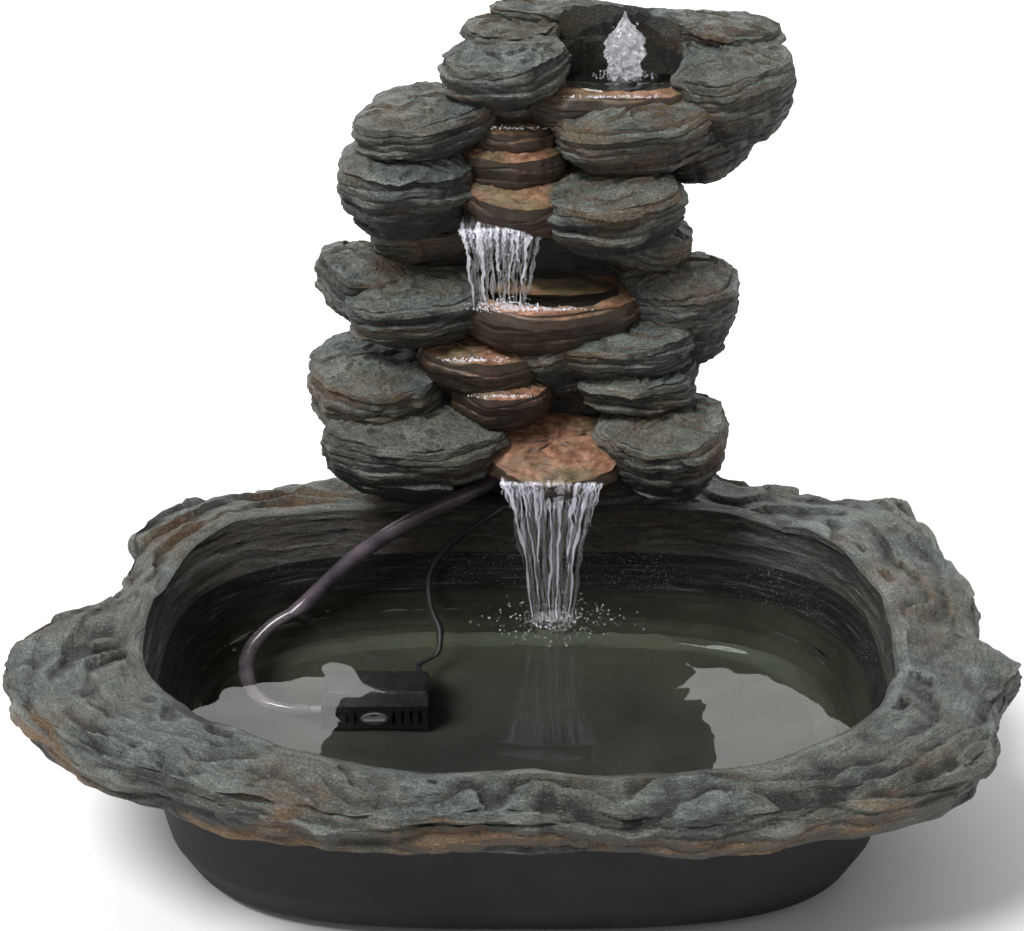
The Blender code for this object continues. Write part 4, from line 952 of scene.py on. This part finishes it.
lead_points = smooth_route([GLAND_TIP, (GLAND_TIP[0], GLAND_TIP[1] + 0.010, GLAND_TIP[2]), *CORD_ROUTE,
                            (COIL_PLACE[0] + BESIDE_COIL, COIL_PLACE[1], ON_GROUND)], 0.006)
lead_points += [coil_point(COIL_TURNED * i / 150) for i in range(1, 151)]
lead_points += smooth_route([lead_points[-1], (0.007, COIL_PLACE[1] - BESIDE_COIL, ON_GROUND),
                             (TAIL_END[0] + 0.010, *TAIL_END[1:]), TAIL_END], 0.006)[1:]
lead_finish = moulded_finish("lead_sheath", (0.010, 0.010, 0.011), 0.42, 0.62)
lead = flexible_tube("mains_lead", lead_points, CORD_DIAMETER, lead_finish)
tie_finish = moulded_finish("tie_grey", (0.09, 0.09, 0.095), 0.45, 0.65)
brass_finish = moulded_finish("pin_brass_bright", (0.70, 0.52, 0.26), 0.20, 0.34, 1.0)
dress(tie_finish, "coil_tie")
dress(lead_finish, "plug_strain_relief", "plug_body")
dress(brass_finish, "plug_pin_1", "plug_pin_2")
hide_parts("power_cord", "cord_coil", "power_cord_tail")


# ---- Water ----
# The basin's water just covers the pump. A jet breaks from the top pool, and the stream falls off two
# slabs in strands, with foam at each step and a splash where it lands.
WATER_LEVEL = 0.108
LANDING = (0.030, 0.167)


def water_material(name, colour, roughness, transmission):
    """Clear water that lets shadow rays through, so that what lies under it is lit."""
    material = new_material(name, colour, roughness, Transmission_Weight=transmission, IOR=1.333)
    tree = material.node_tree
    shader = tree.nodes["Principled BSDF"]
    here = put(tree, "ShaderNodeTexCoord").outputs["Object"]
    ripple = put(tree, "ShaderNodeTexNoise", [(0, here), (2, 22.0), (3, 1.0)]).outputs[0]
    bump = put(tree, "ShaderNodeBump", [(0, 0.10), (1, 0.0012), (3, ripple)])
    tree.links.new(bump.outputs[0], shader.inputs["Normal"])
    light_path = tree.nodes.new("ShaderNodeLightPath")
    through = tree.nodes.new("ShaderNodeBsdfTransparent")
    both = tree.nodes.new("ShaderNodeMixShader")
    tree.links.new(light_path.outputs["Is Shadow Ray"], both.inputs[0])
    tree.links.new(shader.outputs[0], both.inputs[1])
    tree.links.new(through.outputs[0], both.inputs[2])
    tree.links.new(both.outputs[0], tree.nodes["Material Output"].inputs["Surface"])
    return material


def water_piece(item, material):
    item.data.materials.clear()
    item.data.materials.append(material)
    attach(item, "fountain")


still_water = water_material("basin_water", (0.80, 0.86, 0.80), 0.015, 1.0)
WATER_PROFILE = [
    (0.0178, 0.062, 0.0), (0.028, 0.0376, 0.10), (0.050, 0.0256, 0.25), (WATER_LEVEL, 0.0136, 0.55),
]
loops = []
for height, inset, shift in WATER_PROFILE:
    loops.append([dish_point(angle, inset, shift, height) for angle in around(240)])
edge_loop = loops[-1]
for share in [1 - k / 60 for k in range(1, 60)]:
    loop = []
    for point in edge_loop:
        spot = Vector((*LANDING, 0)).lerp(point, share)
        far = hypot(spot.x - LANDING[0], (spot.y - LANDING[1]) * 1.1)
        wave = 0.0024 * sin(far * 300) * exp(-far * 24) + 0.0006 * sin(far * 170 + 1.3) * exp(-far * 7)
        wave += 0.0006 * grain(spot.x * 16, spot.y * 22, 1.0)
        wave += 0.0020 * grain(spot.x * 95, spot.y * 95, 4.0) * exp(-far * 26)
        loop.append((spot.x, spot.y, WATER_LEVEL + wave * smooth_step(1 - share, 0.0, 0.03)))
    loops.append(loop)
water_piece(closed_mesh("water_in_basin", loops, smooth=180), still_water)

for name, pool, level in (("top", TOP_POOL, 0.6225), ("middle", MIDDLE_POOL, 0.4246)):
    x, y, half_length, half_depth, share, depth = pool
    loops = []
    for height in (up_tower(share) + 0.0004, level):
        reach = (half_length * 1.04, half_depth * 1.04)
        loops.append([on_oval((x, y), reach, angle, height) for angle in around(POOL_SIDES)])
    for inward in [1 - k / 26 for k in range(1, 26)]:
        loop = []
        for angle in around(POOL_SIDES):
            px, py, pz = on_oval((x, y), (half_length * inward, half_depth * inward), angle, level)
            loop.append((px, py, pz + 0.0014 * grain(px * 60, py * 60, share)))
        loops.append(loop)
    water_piece(closed_mesh(f"water_in_{name}_pool", loops, smooth=180), still_water)

fall_clear = water_material("falling_water", (0.97, 0.97, 1.0), 0.03, 0.97)
fall_white = water_material("white_water", (0.92, 0.92, 0.97), 0.16, 0.76)


def strand(start, lip, end, width, thickness, seed, pieces=34):
    """One strand of falling water: along the slab, over the lip and down, thinner as it falls."""
    start, lip, end = Vector(start), Vector(lip), Vector(end)
    drop = lip.z - end.z
    path = [start.lerp(lip, i / 6) for i in range(6)]
    for t in [i / (pieces - 6) for i in range(pieces - 5)]:
        forward = lip.y + (end.y - lip.y) * (1 - (1 - t) ** 2)
        path.append(Vector((lip.x + (end.x - lip.x) * t ** 0.8, forward, lip.z - drop * t ** 1.5)))
    loops = []
    for number, place in enumerate(path):
        share = number / (len(path) - 1)
        uneven = 0.9 * grain(share * 9, seed, 1.0) + 0.7 * grain(share * 31, seed, 6.0)
        wide = width * (1 - 0.60 * share) * (1 + uneven)
        thick = thickness * (1 - 0.25 * share) * (1 + 0.45 * grain(share * 13, seed, 5.0))
        tip = min(1.0, 6 * share + 0.15, 5 * (1 - share) + 0.25)
        sway = 0.0042 * grain(share * 5, seed, 9.0) * share + 0.0018 * grain(share * 19, seed, 4.0)
        along = (path[min(number + 1, len(path) - 1)] - path[max(number - 1, 0)]).normalized()
        away = Vector((1, 0, 0)).cross(along).normalized() * thick * tip
        across = Vector((wide * tip, 0, 0))
        middle = place + Vector((sway, 0, 0))
        loops.append([middle + across * cos(angle) + away * sin(angle) for angle in around(10)])
    return closed_mesh("strand", loops, smooth=180)


def fall(name, left, right, lip_y, lip_z, land, land_spread, run_back, count, seed):
    """A fall of many strands from a lip to where it lands."""
    clear, white = [], []
    for number in range(count):
        share = (number + 0.5 + 0.9 * grain(number * 3.1, seed, 0.0)) / count
        x = left + (right - left) * share
        z = lip_z - 0.004 * abs(2 * share - 1) ** 2 + 0.0015 * grain(number * 2.7, seed, 8.0)
        y = lip_y + 0.010 * abs(2 * share - 1) ** 2
        down = 1.0 if number % 3 != 1 else 0.55 + 0.3 * abs(grain(number * 1.7, seed, 3.0))
        end_x = land[0] + (share - 0.5) * land_spread
        end = (x + (end_x - x) * down, y + (land[1] - y) * down, z + (land[2] - z) * down)
        start = (x * 0.97 + 0.03 * land[0], y + run_back, z + run_back * 0.30)
        width = (right - left) / count * (0.68 + 0.9 * grain(number * 5.3, seed, 2.0))
        made = strand(start, (x, y, z), end, width, 0.0011, seed + number * 1.37)
        (white if number % 5 == 0 else clear).append(made)
        for turn in (0, 1)[:2 - number % 2]:
            near = x + (right - left) / count * (turn - 0.5) * 0.9
            long = 0.07 + 0.10 * turn + 0.50 * abs(grain(number * 1.9, seed, 4.0 + 3 * turn))
            short_y = y + (land[1] - y) * (long + 0.12)
            short = (near + (end_x - near) * long, short_y, z + (land[2] - z) * long)
            begin = (near, y + 0.005, z + 0.0008)
            own_seed = seed + number * 2.1 + turn
            white.append(strand(begin, (near, y, z), short, width * 0.50, 0.0011, own_seed, 20))
    water_piece(joined(f"{name}_clear", clear), fall_clear)
    water_piece(joined(f"{name}_white", white), fall_white)


lower_landing = (LANDING[0], LANDING[1] - 0.003, WATER_LEVEL - 0.003)
fall("upper_fall", -0.058, 0.020, 0.206, 0.4990, (-0.020, 0.196, 0.4250), 0.052, 0.022, 24, 3.0)
fall("lower_fall", -0.020, 0.079, 0.164, 0.2560, lower_landing, 0.036, 0.024, 34, 8.0)

JET = (NOZZLE[0], NOZZLE[1] - 0.002)
jet_loops = []
for number in range(46):
    share = number / 45
    height = 0.6215 + 0.0625 * share
    body = 0.0155 * (1 - 0.12 * cos(share * 7)) * (1 - smooth_step(share, 0.55, 1.0) * 0.93)
    loop = []
    for angle in around(40):
        rough = 1 + 0.34 * grain(cos(angle) * 2.2, sin(angle) * 2.2, height * 130)
        rough += 0.18 * grain(cos(angle) * 6, sin(angle) * 6, height * 300)
        loop.append(on_oval(JET, (body * rough, body * rough), angle, height))
    jet_loops.append(loop)
bubbling_water = water_material("bubbling_water", (0.94, 0.95, 0.98), 0.10, 0.80)
water_piece(closed_mesh("bubbler_jet", jet_loops, smooth=180), bubbling_water)

drops_tree = bpy.data.node_groups.new("scattered_drops", "GeometryNodeTree")
drops_tree.interface.new_socket("Geometry", in_out="OUTPUT", socket_type="NodeSocketGeometry")
drop_inputs = {}
for label, kind in (("Count", "Int"), ("Centre", "Vector"), ("Reach", "Vector"), ("Least Drop", "Float"),
                    ("Largest Drop", "Float"), ("Seed", "Int"), ("Water", "Material")):
    socket = drops_tree.interface.new_socket(label, in_out="INPUT", socket_type="NodeSocket" + kind)
    drop_inputs[label] = socket.identifier
given = put(drops_tree, "NodeGroupInput").outputs


def random_value(low, high, seed_offset):
    seed = maths(drops_tree, "ADD", given["Seed"], seed_offset)
    values = [(2, low), (3, high), ("Seed", seed)]
    return put(drops_tree, "FunctionNodeRandomValue", values, data_type="FLOAT").outputs[1]


direction = random_value(0.0, 2 * pi, 0.0)
outward = maths(drops_tree, "POWER", random_value(0.02, 1.0, 11.0), 0.8)
lift = maths(drops_tree, "POWER", random_value(0.0, 1.0, 23.0), 3.0)
side = maths(drops_tree, "MULTIPLY", maths(drops_tree, "COSINE", direction), outward)
forth = maths(drops_tree, "MULTIPLY", maths(drops_tree, "SINE", direction), outward)
spot = put(drops_tree, "ShaderNodeCombineXYZ", [(0, side), (1, forth), (2, lift)]).outputs[0]
for label, operation in (("Reach", "MULTIPLY"), ("Centre", "ADD")):
    item = put(drops_tree, "ShaderNodeVectorMath", [(0, spot), (1, given[label])], operation=operation)
    spot = item.outputs[0]
points = put(drops_tree, "GeometryNodePoints", [("Count", given["Count"]), ("Position", spot)]).outputs[0]
drop = put(drops_tree, "GeometryNodeMeshIcoSphere", [("Radius", 1.0), ("Subdivisions", 2)]).outputs[0]
size = random_value(given["Least Drop"], given["Largest Drop"], 37.0)
placing = [("Points", points), ("Instance", drop), ("Scale", size)]
strewn = put(drops_tree, "GeometryNodeInstanceOnPoints", placing).outputs[0]
real = put(drops_tree, "GeometryNodeRealizeInstances", [(0, strewn)]).outputs[0]
painted = put(drops_tree, "GeometryNodeSetMaterial", [(0, real), ("Material", given["Water"])])
give_out(drops_tree, painted.outputs[0])


def scattered_drops(name, *values):
    holder = linked(name, bpy.data.meshes.new(name))
    modifier = holder.modifiers.new("drops", "NODES")
    modifier.node_group = drops_tree
    for identifier, value in zip(drop_inputs.values(), values):
        modifier[identifier] = value
    data = bpy.data.meshes.new_from_object(holder.evaluated_get(bpy.context.evaluated_depsgraph_get()))
    holder.modifiers.clear()
    holder.data = data
    data.shade_smooth()
    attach(holder, "fountain")


# name, count, middle, reach, least and largest drop, seed, water
for drops in (
    ("landing_foam", 420, (*LANDING, WATER_LEVEL), (0.026, 0.019, 0.010), 0.0003, 0.0011, 5, fall_clear),
    ("landing_ring", 200, (*LANDING, WATER_LEVEL), (0.070, 0.046, 0.003), 0.0003, 0.0009, 7, fall_white),
    ("landing_bubbles", 60, (*LANDING, WATER_LEVEL), (0.095, 0.066, 0.002), 0.0005, 0.0017, 9, fall_clear),
    ("landing_spray", 60, (*LANDING, 0.112), (0.032, 0.020, 0.032), 0.0003, 0.0008, 17, fall_white),
    ("jet_drops", 60, (*JET, 0.628), (0.018, 0.016, 0.046), 0.0004, 0.0009, 21, fall_white),
    ("jet_foam", 110, (0.097, 0.293, 0.6225), (0.030, 0.020, 0.001), 0.0004, 0.0011, 25, fall_white),
    ("upper_splash", 170, (-0.018, 0.200, 0.4240), (0.036, 0.014, 0.007), 0.0004, 0.0011, 33, fall_white),
    ("middle_lip_foam", 150, (0.014, 0.204, 0.4205), (0.058, 0.003, 0.003), 0.0004, 0.0011, 41, fall_white),
    ("lower_step_foam", 110, (-0.046, 0.206, 0.3675), (0.040, 0.004, 0.003), 0.0004, 0.0011, 43, fall_white),
    ("last_step_foam", 70, (-0.020, 0.198, 0.3335), (0.034, 0.003, 0.002), 0.0004, 0.0010, 47, fall_white),
    ("top_lip_foam", 90, (0.086, 0.233, 0.6205), (0.048, 0.003, 0.002), 0.0004, 0.0010, 53, fall_white),
    ("upper_step_foam", 70, (0.000, 0.244, 0.5865), (0.032, 0.003, 0.002), 0.0004, 0.0010, 59, fall_white),
):
    scattered_drops(*drops)


# ---- Floor, lights and camera ----
# A pale seamless floor and soft studio light; the camera looks a little down from the front.
FLOOR_REACH = 60
FLOOR_LEVEL = -0.0004
corners = [(x * FLOOR_REACH, y * FLOOR_REACH, FLOOR_LEVEL) for x, y in ((-1, -1), (1, -1), (1, 1), (-1, 1))]
floor_data = bpy.data.meshes.new("studio_floor")
floor_data.from_pydata(corners, [], [(0, 1, 2, 3)])
floor_data.materials.append(new_material("studio_floor_paint", (0.90, 0.90, 0.90), 0.9))
linked("studio_floor", floor_data)

world = bpy.data.worlds.new("studio")
world.use_nodes = True
sky = world.node_tree.nodes["Background"]
sky.inputs[0].default_value = (1.0, 1.0, 1.0, 1.0)
seen = put(world.node_tree, "ShaderNodeLightPath").outputs["Is Camera Ray"]
world.node_tree.links.new(range_of(world.node_tree, seen, 0.0, 1.0, 0.40, 1.0), sky.inputs[1])
scene.world = world
scene.view_settings.view_transform = "Standard"


def studio_light(name, kind, energy, toward, place=(0.0, 0.0, 0.0)):
    light = bpy.data.lights.new(name, kind)
    light.energy = energy
    item = linked(name, light)
    item.location = place
    item.rotation_euler = Vector(toward).to_track_quat("-Z", "Y").to_euler()
    return light


studio_light("key", "SUN", 3.1, (1.1, 0.9, -2.2)).angle = radians(24)
back_panel = studio_light("back_panel", "AREA", 56, (0.0, -2.5, -1.5), (0.0, 2.5, 1.75))
back_panel.shape = "RECTANGLE"
back_panel.size = 4.2
back_panel.size_y = 1.7

TARGET = Vector((-0.009, -0.015, 0.36))
ELEVATION = radians(25)
DISTANCE = 2.6
lens = bpy.data.cameras.new("camera")
lens.sensor_fit = "HORIZONTAL"
lens.sensor_width = 36.0
lens.lens = 103.1
camera = linked("camera", lens)
camera.location = TARGET + Vector((0.0, -cos(ELEVATION), sin(ELEVATION))) * DISTANCE
camera.rotation_euler = (pi / 2 - ELEVATION, 0.0, 0.0)
scene.camera = camera

bpy.context.view_layer.update()
